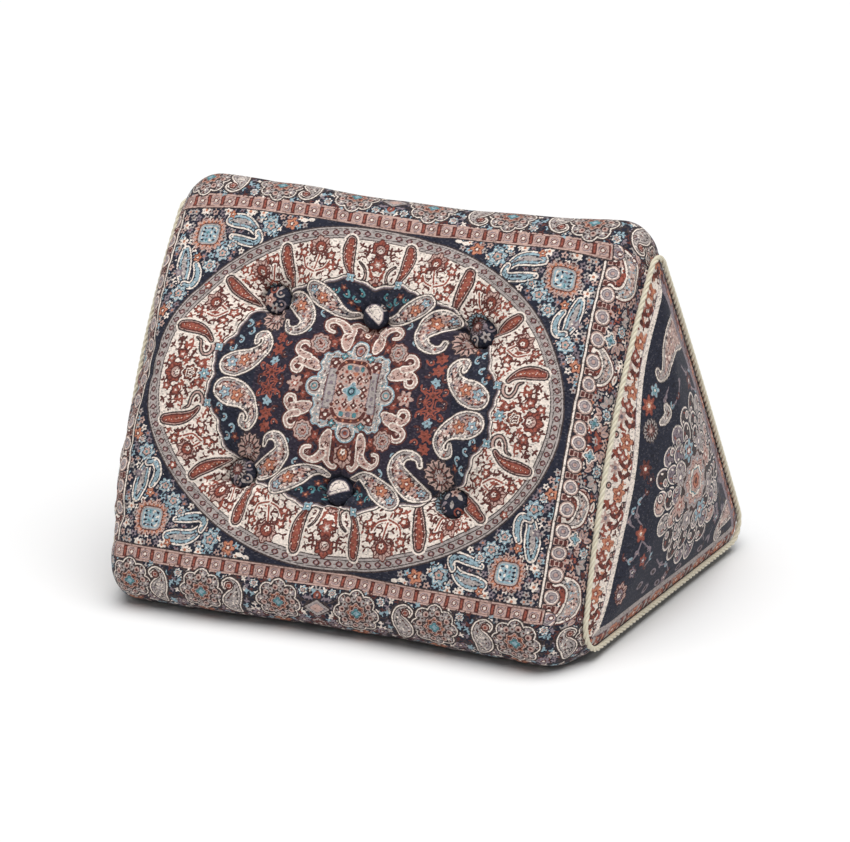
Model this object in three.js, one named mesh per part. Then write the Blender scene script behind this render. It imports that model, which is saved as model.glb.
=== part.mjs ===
// Triangular backrest cushion: one filled wrap of patterned cloth, closed at each end by a
// triangular panel, with a twisted cord in both end seams and six covered buttons that tuft the front.
// Sizes are in millimetres. X runs along the cushion, the front leans back from -Y, Z is up
// and the floor is z = 0.
import * as THREE from "three";

// Driving dimensions
const length = 493; // from end seam to end seam
const seamFront = -176; // lower front corner of an end panel before rounding, along Y from the ridge
const seamBack = 187; // and its lower back corner
const seamHeight = 357; // its ridge corner before rounding, above the floor
const seamFloorGap = 14; // its lower edge stands this high
const swellFront = 61; // how far the filled middle stands out beyond those corners
const swellRidge = 52;
const swellBack = 42;
const cordDiameter = 6.5;
const buttonDiameter = 28;
const buttonHeight = 8.5;
const clearance = 0.3; // between neighbouring pieces

// The section's corners before rounding, with the radius of the rounding: at an end seam,
// and in the full section between the ends. Their order is lower front, ridge, lower back.
const corners = [
  {
    seam: { y: seamFront, z: seamFloorGap, radius: 24 },
    full: { y: seamFront - swellFront, z: 0, radius: 44 },
  },
  {
    seam: { y: 0, z: seamHeight, radius: 13 },
    full: { y: 0, z: seamHeight + swellRidge, radius: 36 },
  },
  {
    seam: { y: seamBack, z: seamFloorGap, radius: 17 },
    full: { y: seamBack + swellBack, z: 0, radius: 38 },
  },
];
// Crown of the section's sides, in the order front, back, base.
const crowns = [
  { seam: 19, full: 30 },
  { seam: 2, full: 20 },
  { seam: 0, full: 0 },
];
const cornerReach = 34; // the corners and the base are full this far from a seam
const crownReach = 92; // and the crowned sides this far from it
const shoulderPower = 2.2; // how full the shoulder beside a seam is
const shoulderRound = 0.62; // and how upright the cloth leaves the seam

// The fill stands a little fuller on both sides of the middle than at the middle itself.
const puffLength = 368;
const puffCentre = 198;
const ridgePuff = 3.5;
const frontPuff = 5;

// Tufts: along X from the middle, and up the slope of the front from its lower corner.
const tufts = [
  { name: "upper_left", x: -111, rise: 296 },
  { name: "upper_middle", x: -5, rise: 291 },
  { name: "upper_right", x: 108, rise: 289 },
  { name: "lower_left", x: -108, rise: 128 },
  { name: "lower_middle", x: -4, rise: 122 },
  { name: "lower_right", x: 115, rise: 128 },
];
const seatRadius = 20; // of the flat seat under a button, in line with the section's corners
const seatSlope = 20; // how far the cloth takes to rise round the seat
const seatPower = 2.2;

// Crown of an end panel, away from the cushion
const panelCrown = 25;
const panelEdge = 1.2;

// Section of a button: a low dome with a rounded edge
const buttonEdge = 3.2;
const buttonEdgeAngles = [-45, 0, 40];
const buttonShoulder = { share: 0.45, drop: 1 }; // of the radius, and below the top

// Spacing of the meshes
const coarseStep = 16;
const fineStep = 8;
const fineReach = 25; // of a tuft or a seam
const cornerSteps = 5;
const backSteps = 14;
const baseSteps = 9;
const panelSteps = 8; // along each side of an end panel
const panelRings = 5;
const cordSides = 8;
const cordSteps = 15; // along each side of an end seam
const cordCornerSteps = 6;
const buttonSegments = 18;

const clamp = (value, low, high) => Math.min(high, Math.max(low, value));
const mix = (a, b, share) => a + (b - a) * share;
const shares = (count) => Array.from({ length: count + 1 }, (_, i) => i / count);
const point = (y, z) => new THREE.Vector2(y, z); // in the plane of a section

// Positions from start to end, closer together near each focus.
function gradedPositions(start, end, focuses) {
  const positions = [start];
  let place = start;
  for (;;) {
    const nearest = Math.min(...focuses.map((focus) => Math.abs(place - focus)));
    place += nearest <= fineReach ? fineStep : coarseStep;
    if (place > end - fineStep / 2) break;
    positions.push(place);
  }
  positions.push(end);
  return positions;
}

// How far the section has grown at x from the seam's section to the full one, 0 to 1.
function growth(x, reach) {
  const fromSeam = clamp((length / 2 - Math.abs(x)) / reach, 0, 1);
  return (1 - (1 - fromSeam) ** shoulderPower) ** shoulderRound;
}

const puff = (x) => Math.cos((2 * Math.PI * (x - puffCentre)) / puffLength);

// The rounding of a corner: its centre, its two tangent points and the angles between them.
function cornerArc(corner, before, after) {
  const here = point(corner.y, corner.z);
  const back = point(before.y, before.z).sub(here).normalize();
  const forth = point(after.y, after.z).sub(here).normalize();
  const halfAngle = Math.acos(clamp(back.dot(forth), -1, 1)) / 2;
  const reach = corner.radius / Math.tan(halfAngle);
  const centre = back.clone().add(forth).normalize();
  centre.multiplyScalar(corner.radius / Math.sin(halfAngle)).add(here);
  const start = here.clone().addScaledVector(back, reach);
  const end = here.clone().addScaledVector(forth, reach);
  const startAngle = start.clone().sub(centre).angle();
  let turn = end.clone().sub(centre).angle() - startAngle;
  if (turn > 0) turn -= 2 * Math.PI; // the section runs clockwise
  return { centre, radius: corner.radius, start, end, startAngle, turn };
}

// The section at x: its three corner arcs, and its three sides as straight runs between the
// arcs with the outward direction and the crown of each.
function sectionAt(x) {
  const share = growth(x, cornerReach);
  const crownShare = growth(x, crownReach);
  const [front, ridge, back] = corners.map(({ seam, full }) => ({
    y: mix(seam.y, full.y, share),
    z: mix(seam.z, full.z, share),
    radius: mix(seam.radius, full.radius, share),
  }));
  front.y -= frontPuff * puff(x) * share;
  ridge.z += ridgePuff * puff(x) * share;
  const arcs = [
    cornerArc(front, back, ridge),
    cornerArc(ridge, front, back),
    cornerArc(back, ridge, front),
  ];
  const sides = arcs.map((arc, i) => {
    const from = arc.end;
    const run = arcs[(i + 1) % 3].start.clone().sub(from);
    const out = point(-run.y, run.x).normalize();
    return { from, run, out, crown: mix(crowns[i].seam, crowns[i].full, crownShare) };
  });
  return { arcs, sides };
}

const sidePoint = (side, share, lift) =>
  side.from.clone().addScaledVector(side.run, share).addScaledVector(side.out, lift);

const crownLift = (side, share) => side.crown * (1 - (2 * share - 1) ** 2);

function arcPoint(arc, share) {
  const angle = arc.startAngle + arc.turn * share;
  return point(Math.cos(angle), Math.sin(angle)).multiplyScalar(arc.radius).add(arc.centre);
}

// Where a height up the slope lies along the front's straight run, as a share of it.
const frontShare = (rise, front) => (rise - corners[0].full.radius) / front.run.length();

// The seats stay level where the puffs push the straight line of the front outwards.
function seatLift(x, share) {
  const slope = Math.hypot(seamFront, seamHeight);
  const low = (frontPuff * seamHeight) / slope;
  const high = (-ridgePuff * seamFront) / slope;
  return -mix(low, high, share) * puff(x);
}

// How fully a point of the front is drawn in by the tufts: 1 on a button's seat, 0 far away.
function drawnIn(x, rise) {
  let free = 1;
  for (const tuft of tufts) {
    const beyond = Math.max(0, Math.hypot(x - tuft.x, rise - tuft.rise) - seatRadius);
    free *= 1 - 1 / (1 + (beyond / seatSlope) ** seatPower);
  }
  return 1 - free;
}

// Height of the tufted cloth over the front's straight run at x.
function frontLift(x, front, share) {
  const rise = share * front.run.length() + corners[0].full.radius;
  return mix(crownLift(front, share), seatLift(x, share), drawnIn(x, rise));
}

// The closed outline of a section: up the front, over the ridge, down the back and along the
// base. `places` holds the shares at which each side has a point, `lifts` their heights.
function outline(section, places, steps, lifts) {
  const points = [];
  section.sides.forEach((side, i) => {
    points.push(...places[i].map((share) => sidePoint(side, share, lifts[i](side, share))));
    const nextArc = section.arcs[(i + 1) % 3];
    points.push(...shares(steps).slice(1, -1).map((share) => arcPoint(nextArc, share)));
  });
  return points;
}

// The outline of an end seam, with even steps along each side.
function seamOutline(sideSteps, steps) {
  const places = [0, 1, 2].map(() => shares(sideSteps));
  return outline(sectionAt(length / 2), places, steps, [crownLift, crownLift, crownLift]);
}

function geometryFrom(vertices, faces) {
  const geometry = new THREE.BufferGeometry();
  const positions = vertices.flatMap((vertex) => vertex.toArray());
  geometry.setAttribute("position", new THREE.Float32BufferAttribute(positions, 3));
  geometry.setIndex(faces);
  geometry.computeVertexNormals();
  return geometry;
}

// The faces between rings of as many vertices each; a closed chain joins the last to the first.
function ringFaces(ringCount, count, closed) {
  const faces = [];
  for (let i = 0; i < ringCount - (closed ? 0 : 1); i++) {
    for (let j = 0; j < count; j++) {
      const a = i * count + j;
      const b = i * count + ((j + 1) % count);
      const c = ((i + 1) % ringCount) * count + j;
      const d = ((i + 1) % ringCount) * count + ((j + 1) % count);
      faces.push(a, c, b, b, c, d);
    }
  }
  return faces;
}

// A closed solid from rings, with both end rings closed by a fan round a middle point.
function cappedSolid(rings, firstMiddle, lastMiddle) {
  const count = rings[0].length;
  const faces = ringFaces(rings.length, count, false);
  const first = rings.length * count;
  const last = first + 1;
  const end = first - count;
  for (let j = 0; j < count; j++) {
    const k = (j + 1) % count;
    faces.push(first, j, k, last, end + k, end + j);
  }
  return geometryFrom([...rings.flat(), firstMiddle, lastMiddle], faces);
}

function middleOf(points) {
  const sum = points.reduce((total, p) => total.add(p), points[0].clone().set(0, 0, 0));
  return sum.divideScalar(points.length);
}

const clothMaterial = new THREE.MeshStandardMaterial({ color: 0x6f5d60, roughness: 0.85 });
const panelMaterial = new THREE.MeshStandardMaterial({ color: 0x2b2a3f, roughness: 0.85 });
const cordMaterial = new THREE.MeshStandardMaterial({ color: 0xe9dfcb, roughness: 0.7 });
const buttonMaterial = new THREE.MeshStandardMaterial({ color: 0x4a4452, roughness: 0.85 });

function named(name, geometry, material) {
  const mesh = new THREE.Mesh(geometry, material);
  mesh.name = name;
  return mesh;
}

// The filled wrap: front, back and base in one cloth, drawn in at the end seams and the tufts.
function makeBody() {
  const half = (length - clearance) / 2;
  const columns = tufts.map((tuft) => tuft.x);
  const stations = gradedPositions(-half, half, [...columns, -half, half]);
  const slope = Math.hypot(seamFront, seamHeight);
  const rises = gradedPositions(0, slope, tufts.map((tuft) => tuft.rise));
  const places = [rises.map((rise) => rise / slope), shares(backSteps), shares(baseSteps)];
  const rings = stations.map((x) => {
    const lifts = [(side, share) => frontLift(x, side, share), crownLift, crownLift];
    const points = outline(sectionAt(x), places, cornerSteps, lifts);
    return points.map((p) => new THREE.Vector3(x, p.x, p.y));
  });
  const geometry = cappedSolid(rings, middleOf(rings[0]), middleOf(rings.at(-1)));
  return named("body", geometry, clothMaterial);
}

// An end panel: flat against the fill, and crowned outwards from its seam. `side` is -1 or 1.
function makeEndPanel(name, side) {
  const rim = seamOutline(panelSteps, cornerSteps);
  const ys = rim.reduce((sum, p) => sum + p.x, 0) / rim.length;
  const zs = rim.reduce((sum, p) => sum + p.y, 0) / rim.length;
  const centre = point(ys, zs);
  const flatX = length / 2 + clearance / 2;
  const ringAt = (share, x) =>
    rim.map((p) => {
      const q = p.clone().lerp(centre, 1 - share);
      return new THREE.Vector3(side * x, q.x, q.y);
    });
  const rings = [ringAt(1, flatX)];
  for (let i = 0; i < panelRings; i++) {
    const share = Math.cos((i / panelRings) * (Math.PI / 2));
    rings.push(ringAt(share, flatX + panelEdge + panelCrown * (1 - share ** 2)));
  }
  const topX = flatX + panelEdge + panelCrown;
  const middles = [flatX, topX].map((x) => new THREE.Vector3(side * x, centre.x, centre.y));
  if (side < 0) {
    rings.reverse();
    middles.reverse();
  }
  return named(name, cappedSolid(rings, ...middles), panelMaterial);
}

// The cord in an end seam: a closed round tube just outside the seam's outline.
function makeCord(name, side) {
  const radius = cordDiameter / 2;
  const offset = radius + 1 + clearance;
  const middleX = length / 2 + radius + clearance;
  const path = seamOutline(cordSteps, cordCornerSteps);
  if (side > 0) path.reverse();
  const rings = path.map((p, i) => {
    const ahead = path[(i + 1) % path.length];
    const behind = path.at(i - 1);
    const along = ahead.clone().sub(behind).normalize();
    const out = point(-along.y, along.x).multiplyScalar(-side);
    return shares(cordSides)
      .slice(0, -1)
      .map((share) => {
        const angle = 2 * Math.PI * share + Math.PI / cordSides;
        const spot = p.clone().addScaledVector(out, offset + radius * Math.cos(angle));
        return new THREE.Vector3(side * (middleX + radius * Math.sin(angle)), spot.x, spot.y);
      });
  });
  const faces = ringFaces(rings.length, cordSides, true);
  return named(name, geometryFrom(rings.flat(), faces), cordMaterial);
}

// A covered button on the seat at the bottom of its tuft.
function makeButton(tuft) {
  const radius = buttonDiameter / 2;
  const profile = [new THREE.Vector2(0, 0), new THREE.Vector2(radius - buttonEdge, 0)];
  for (const degrees of buttonEdgeAngles) {
    const angle = THREE.MathUtils.degToRad(degrees);
    const across = radius - buttonEdge + buttonEdge * Math.cos(angle);
    profile.push(new THREE.Vector2(across, buttonEdge + buttonEdge * Math.sin(angle)));
  }
  const shoulder = radius * buttonShoulder.share;
  profile.push(new THREE.Vector2(shoulder, buttonHeight - buttonShoulder.drop));
  profile.push(new THREE.Vector2(0, buttonHeight));
  const geometry = new THREE.LatheGeometry(profile, buttonSegments);
  const button = named(`button_${tuft.name}`, geometry, buttonMaterial);

  const front = sectionAt(tuft.x).sides[0];
  const share = frontShare(tuft.rise, front);
  const seat = sidePoint(front, share, seatLift(tuft.x, share) + clearance);
  const out = new THREE.Vector3(0, front.out.x, front.out.y);
  button.position.set(tuft.x, seat.x, seat.y);
  button.quaternion.setFromUnitVectors(new THREE.Vector3(0, 1, 0), out);
  return button;
}

const cushion = new THREE.Group();
cushion.add(makeBody());
cushion.add(makeEndPanel("end_panel_left", -1), makeEndPanel("end_panel_right", 1));
cushion.add(makeCord("cord_left", -1), makeCord("cord_right", 1));
for (const tuft of tufts) cushion.add(makeButton(tuft));

// The origin is the middle of the cushion's footprint, on the floor.
const footprint = new THREE.Box3().setFromObject(cushion, true);
cushion.position.y = -(footprint.min.y + footprint.max.y) / 2;

export default cushion;
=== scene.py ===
"""Looks of the triangular backrest cushion: patterned cloth, twisted cords and covered buttons."""
import math

import bpy
import numpy as np
from mathutils import Matrix, Vector


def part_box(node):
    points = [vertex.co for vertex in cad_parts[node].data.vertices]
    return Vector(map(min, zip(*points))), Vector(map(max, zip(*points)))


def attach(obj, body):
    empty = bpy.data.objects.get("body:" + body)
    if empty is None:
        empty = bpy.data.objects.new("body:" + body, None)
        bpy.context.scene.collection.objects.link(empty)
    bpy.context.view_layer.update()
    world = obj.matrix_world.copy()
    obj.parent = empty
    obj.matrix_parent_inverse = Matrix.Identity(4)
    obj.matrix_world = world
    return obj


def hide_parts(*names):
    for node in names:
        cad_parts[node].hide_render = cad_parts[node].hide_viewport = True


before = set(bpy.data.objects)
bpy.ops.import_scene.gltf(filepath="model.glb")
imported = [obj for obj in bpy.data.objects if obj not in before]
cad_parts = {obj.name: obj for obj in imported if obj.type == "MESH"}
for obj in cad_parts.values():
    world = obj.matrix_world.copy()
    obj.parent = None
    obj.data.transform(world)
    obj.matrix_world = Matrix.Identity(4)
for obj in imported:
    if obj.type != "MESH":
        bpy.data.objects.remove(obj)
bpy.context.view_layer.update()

# Sizes are in millimetres until a mesh is made, which is in metres.
METRE = 0.001

# Driving dimensions, the same as the solids have
LENGTH = 493.0
CLEARANCE = 0.3
CORNERS = {
    "front": {"seam": (-176.0, 14.0, 24.0), "full": (-237.0, 0.0, 44.0)},
    "ridge": {"seam": (0.0, 357.0, 13.0), "full": (0.0, 409.0, 36.0)},
    "back": {"seam": (187.0, 14.0, 17.0), "full": (229.0, 0.0, 38.0)},
}
CROWNS = {"front": (19.0, 30.0), "back": (2.0, 20.0), "base": (0.0, 0.0)}
CORNER_REACH = 34.0
CROWN_REACH = 92.0
SHOULDER_POWER = 2.2
SHOULDER_ROUND = 0.62
PUFF_LENGTH = 368.0
PUFF_CENTRE = 198.0
RIDGE_PUFF = 3.5
FRONT_PUFF = 5.0
TUFTS = {
    "upper_left": (-111.0, 296.0),
    "upper_middle": (-5.0, 291.0),
    "upper_right": (108.0, 289.0),
    "lower_left": (-108.0, 128.0),
    "lower_middle": (-4.0, 122.0),
    "lower_right": (115.0, 128.0),
}
PANEL_CROWN = 25.0
PANEL_EDGE = 1.2
BUTTON_DIAMETER = 28.0

# The cloth meets a button at its rim and rises from there.
SEAT_RADIUS = 14.0
SEAT_SLOPE = 20.0
SEAT_POWER = 2.0

# Steps of the meshes
COLUMN_STEP = 1.05
COLUMN_GROUP = 6  # the number of columns is a multiple of this, so that coarser pieces share them
ROW_STEPS = {"front_arc": 1.0, "front": 1.0, "ridge_arc": 1.0, "back": 2.4, "back_arc": 2.4, "base": 6.0}
PARTS = list(ROW_STEPS)
DENSE_STATIONS = 8001  # from which the even ones are taken, crowded towards the seams by a power
END_CROWDING = 2.2
ARC_STEPS = 40
PANEL_STEP = 1.35
PANEL_POINTS = 1024


def mix(a, b, share):
    return a + (b - a) * share


def unit(v):
    return v / np.linalg.norm(v, axis=-1, keepdims=True)


def lengths_along(path):
    """The distance of each point of a path from its start."""
    return np.concatenate([[0], np.cumsum(np.linalg.norm(np.diff(path, axis=0), axis=1))])


def growth(x, reach):
    """How far the section has grown at x from the seam's section to the full one."""
    from_seam = np.clip((LENGTH / 2 - np.abs(x)) / reach, 0, 1)
    return (1 - (1 - from_seam) ** SHOULDER_POWER) ** SHOULDER_ROUND


def puff(x):
    return np.cos(2 * np.pi * (x - PUFF_CENTRE) / PUFF_LENGTH)


def corner_arc(corner, before, after):
    """The rounding of one corner for every station: centres, radii, tangent points and angles."""
    here, radius = corner
    back = unit(before[0] - here)
    forth = unit(after[0] - here)
    half = np.arccos(np.clip((back * forth).sum(-1), -1, 1)) / 2
    centre = here + unit(back + forth) * (radius / np.sin(half))[:, None]
    reach = (radius / np.tan(half))[:, None]
    start = here + back * reach
    end = here + forth * reach
    angle = np.arctan2(*(start - centre).T[::-1])
    turn = np.arctan2(*(end - centre).T[::-1]) - angle
    turn = np.where(turn > 0, turn - 2 * np.pi, turn)
    turn = np.where(turn < -2 * np.pi, turn + 2 * np.pi, turn)
    return {"centre": centre, "radius": radius, "start": start, "end": end, "angle": angle, "turn": turn}


def sections(x):
    """The rounded sections at the stations x: three arcs and the three sides between them."""
    share = growth(x, CORNER_REACH)
    crown_share = growth(x, CROWN_REACH)
    corners = {}
    for name, ends in CORNERS.items():
        y, z, radius = (mix(a, b, share) for a, b in zip(ends["seam"], ends["full"]))
        if name == "front":
            y = y - FRONT_PUFF * puff(x) * share
        if name == "ridge":
            z = z + RIDGE_PUFF * puff(x) * share
        corners[name] = (np.stack([y, z], -1), radius)
    front, ridge, back = corners.values()
    arcs = {
        "front_arc": corner_arc(front, back, ridge),
        "ridge_arc": corner_arc(ridge, front, back),
        "back_arc": corner_arc(back, ridge, front),
    }
    sides = {}
    for name, first, last in (
        ("front", "front_arc", "ridge_arc"),
        ("back", "ridge_arc", "back_arc"),
        ("base", "back_arc", "front_arc"),
    ):
        start = arcs[first]["end"]
        run = arcs[last]["start"] - start
        out = unit(np.stack([-run[:, 1], run[:, 0]], -1))
        crown = mix(*CROWNS[name], crown_share)
        sides[name] = {"start": start, "run": run, "out": out, "crown": crown}
    return arcs, sides


def seat_lift(x, share):
    """The button seats stay level where the puffs push the straight line of the front outwards."""
    (seam_y, _, _), (_, ridge_z, _) = CORNERS["front"]["seam"], CORNERS["ridge"]["seam"]
    slope = math.hypot(seam_y, ridge_z)
    return -mix(FRONT_PUFF * ridge_z / slope, -RIDGE_PUFF * seam_y / slope, share) * puff(x)


def drawn_in(x, rise):
    """How fully the tufts draw the front in: 1 on a button's seat, 0 far from every tuft."""
    free = 1.0
    for tuft_x, tuft_rise in TUFTS.values():
        beyond = np.maximum(0, np.hypot(x - tuft_x, rise - tuft_rise) - SEAT_RADIUS)
        free = free * (1 - 1 / (1 + (beyond / SEAT_SLOPE) ** SEAT_POWER))
    return 1 - free


def front_rise(side, share):
    return share * np.linalg.norm(side["run"], axis=-1) + CORNERS["front"]["full"][2]


def row_of_points(part, share, x, arcs, sides):
    """The points (y, z) of one row along the cushion, at a share of one part of the section."""
    if part.endswith("arc"):
        arc = arcs[part]
        angle = arc["angle"] + arc["turn"] * share
        return arc["centre"] + arc["radius"][:, None] * np.stack([np.cos(angle), np.sin(angle)], -1)
    side = sides[part]
    lift = side["crown"] * (1 - (2 * share - 1) ** 2)
    if part == "front":
        lift = mix(lift, seat_lift(x, share), drawn_in(x, front_rise(side, share)))
    return side["start"] + side["run"] * share + side["out"] * lift[:, None]


def stations():
    """Places along X at even steps of cloth, which climbs the shoulder beside each seam."""
    x = np.linspace(-1, 1, DENSE_STATIONS)
    x = np.sign(x) * (1 - (1 - np.abs(x)) ** END_CROWDING) * (LENGTH - CLEARANCE) / 2
    arcs, sides = sections(x)
    front = sides["front"]
    middle = front["start"] + front["run"] / 2 + front["out"] * front["crown"][:, None]
    lengths = lengths_along(np.concatenate([x[:, None], middle], 1))
    count = round(lengths[-1] / COLUMN_STEP / COLUMN_GROUP) * COLUMN_GROUP
    even = np.linspace(0, lengths[-1], count + 1)
    return np.interp(even, lengths, x), even - lengths[-1] / 2


def section_rows():
    """The rows round the section: (part, share) of each and its place along the cloth."""
    x = np.zeros(1)
    arcs, sides = sections(x)
    rows, places = [], []
    start = 0.0
    for part, step in ROW_STEPS.items():
        if part.endswith("arc"):
            length = abs(arcs[part]["radius"][0] * arcs[part]["turn"][0])
        else:
            run = np.linalg.norm(sides[part]["run"][0])
            length = run + 8 / 3 * sides[part]["crown"][0] ** 2 / run
        count = round(length / step)
        rows += [(part, i / count) for i in range(count)]
        places += [start + length * i / count for i in range(count)]
        start += length
    return rows, np.array(places), start


def surface():
    """Points of the whole wrap, by column and row, with the flat place of each in the cloth."""
    x, along = stations()
    arcs, sides = sections(x)
    rows, up, girth = section_rows()
    points = np.zeros((len(x), len(rows), 3))
    for j, (part, share) in enumerate(rows):
        points[:, j, 0] = x
        points[:, j, 1:] = row_of_points(part, share, x, arcs, sides)
    return points, along, up, girth, rows


def seam_outline(count, outset=0.0):
    """Points (y, z) at even steps round the seam's section, with the ways outward and the length."""
    x = np.array([LENGTH / 2])
    arcs, sides = sections(x)
    dense = np.array([
        row_of_points(part, share, x, arcs, sides)[0]
        for part in PARTS
        for share in np.arange(ARC_STEPS) / ARC_STEPS
    ])
    closed = np.concatenate([dense, dense[:1]])
    lengths = lengths_along(closed)
    even = np.arange(count) / count * lengths[-1]
    outline = np.stack([np.interp(even, lengths, closed[:, k]) for k in (0, 1)], -1)
    onward = np.roll(outline, -1, 0) - np.roll(outline, 1, 0)
    outward = unit(np.stack([-onward[:, 1], onward[:, 0]], -1))
    return outline + outward * outset, outward, lengths[-1]


# The yarns of the woven cloth, as sRGB colours
YARNS = {
    "navy": (37, 39, 53),
    "plum": (47, 41, 54),
    "ink": (66, 55, 55),
    "maroon": (94, 52, 48),
    "red": (146, 78, 65),
    "orange": (190, 126, 99),
    "rose": (190, 159, 149),
    "cream": (232, 219, 208),
    "pale": (170, 160, 156),
    "mauve": (133, 120, 127),
    "sky": (146, 170, 180),
    "teal": (84, 134, 141),
}
YARN = {name: i for i, name in enumerate(YARNS)}
SOFTNESS = 1.0  # width over which one yarn gives way to the next at an edge


def cover(distance):
    """How far a shape covers points at a distance outside its edge (negative inside), 0 to 1."""
    return np.clip(0.5 - distance / SOFTNESS, 0, 1)


def disc(x, y, radius):
    return np.hypot(x, y) - radius


def ring(distance, width):
    """The band of a width centred on a shape's edge."""
    return np.abs(distance) - width / 2


def petals(x, y, radius, count, depth, turn=0.0):
    """A round flower whose rim waves in and out by a depth, as a share of its radius."""
    angle = np.arctan2(y, x) + turn
    return np.hypot(x, y) - radius * (1 - depth / 2 + depth / 2 * np.cos(count * angle))


def turned(x, y, degrees):
    angle = math.radians(degrees)
    return x * math.cos(angle) + y * math.sin(angle), y * math.cos(angle) - x * math.sin(angle)


def leaf(x, y, length, width):
    """A pointed leaf along x."""
    bow = (length**2 + width**2) / (4 * width)
    return np.hypot(x, np.abs(y) + bow - width / 2) - bow


def fan(x, y, turns, middle, length, width):
    """Leaves that spread from one foot, each turned by degrees and with its middle at a distance."""
    places = [turned(x, y, degrees) for degrees in turns]
    return np.minimum.reduce([leaf(a - middle, b, length, width) for a, b in places])


def rays(x, y, count, width):
    """A star of straight lines from the middle, with count lines on each half turn."""
    return np.hypot(x, y) * np.abs(np.sin(count * np.arctan2(y, x))) / count - width / 2


def ellipse(u, v, half_u, half_v):
    """Distance outside an ellipse, close enough near its edge."""
    share = np.hypot(u / half_u, v / half_v)
    slope = np.hypot(u / half_u**2, v / half_v**2)
    return (share - 1) * share / np.maximum(slope, 1e-6)


def smooth_path(points, steps=6):
    """A smooth curve through a short list of points, each (u, v, half width)."""
    knots = np.array([points[0], *points, points[-1]], float)
    share = np.arange(steps)[:, None] / steps
    pieces = []
    for a, b, c, d in zip(knots, knots[1:], knots[2:], knots[3:]):
        pieces.append(
            b + (c - a) / 2 * share
            + (a - 2.5 * b + 2 * c - d / 2) * share**2
            + (1.5 * b - a / 2 - 1.5 * c + d / 2) * share**3
        )
    return np.concatenate([*pieces, knots[-1:]])


def strand(u, v, path):
    """Distance outside a tapered stroke along a path."""
    best = np.full(u.shape, 1e9)
    for (u0, v0, r0), (u1, v1, r1) in zip(path, path[1:]):
        du, dv = u1 - u0, v1 - v0
        along = np.clip(((u - u0) * du + (v - v0) * dv) / (du * du + dv * dv + 1e-9), 0, 1)
        away = np.hypot(u - u0 - along * du, v - v0 - along * dv)
        best = np.minimum(best, away - mix(r0, r1, along))
    return best


def nested(shape, *layers):
    """A shape in nested colours: each yarn is followed by its inset from the shape's edge."""
    return [(yarn, shape + inset) for yarn, inset in zip(layers[::2], layers[1::2])]


ROW_SPACING = 0.87  # of a staggered grid, as a share of its step
UNEVENNESS = 0.22
PICKS = 2520  # a multiple of every whole number up to 10


def staggered(low, high, step):
    """Places (u, v) of a staggered grid."""
    for j, v in enumerate(np.arange(low[1], high[1], step * ROW_SPACING)):
        for u in np.arange(low[0] + (j % 2) * step / 2, high[0], step):
            yield u, v


def scatter(low, high, step, draw, seed):
    """Calls draw(u, v, turn, pick) on a slightly uneven staggered grid; pick is a chance whole number."""
    chance = np.random.default_rng(seed)
    for u, v in staggered(low, high, step):
        du, dv = chance.uniform(-UNEVENNESS, UNEVENNESS, 2) * step
        draw(u + du, v + dv, chance.uniform(0, 360), int(chance.integers(0, PICKS)))


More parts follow.
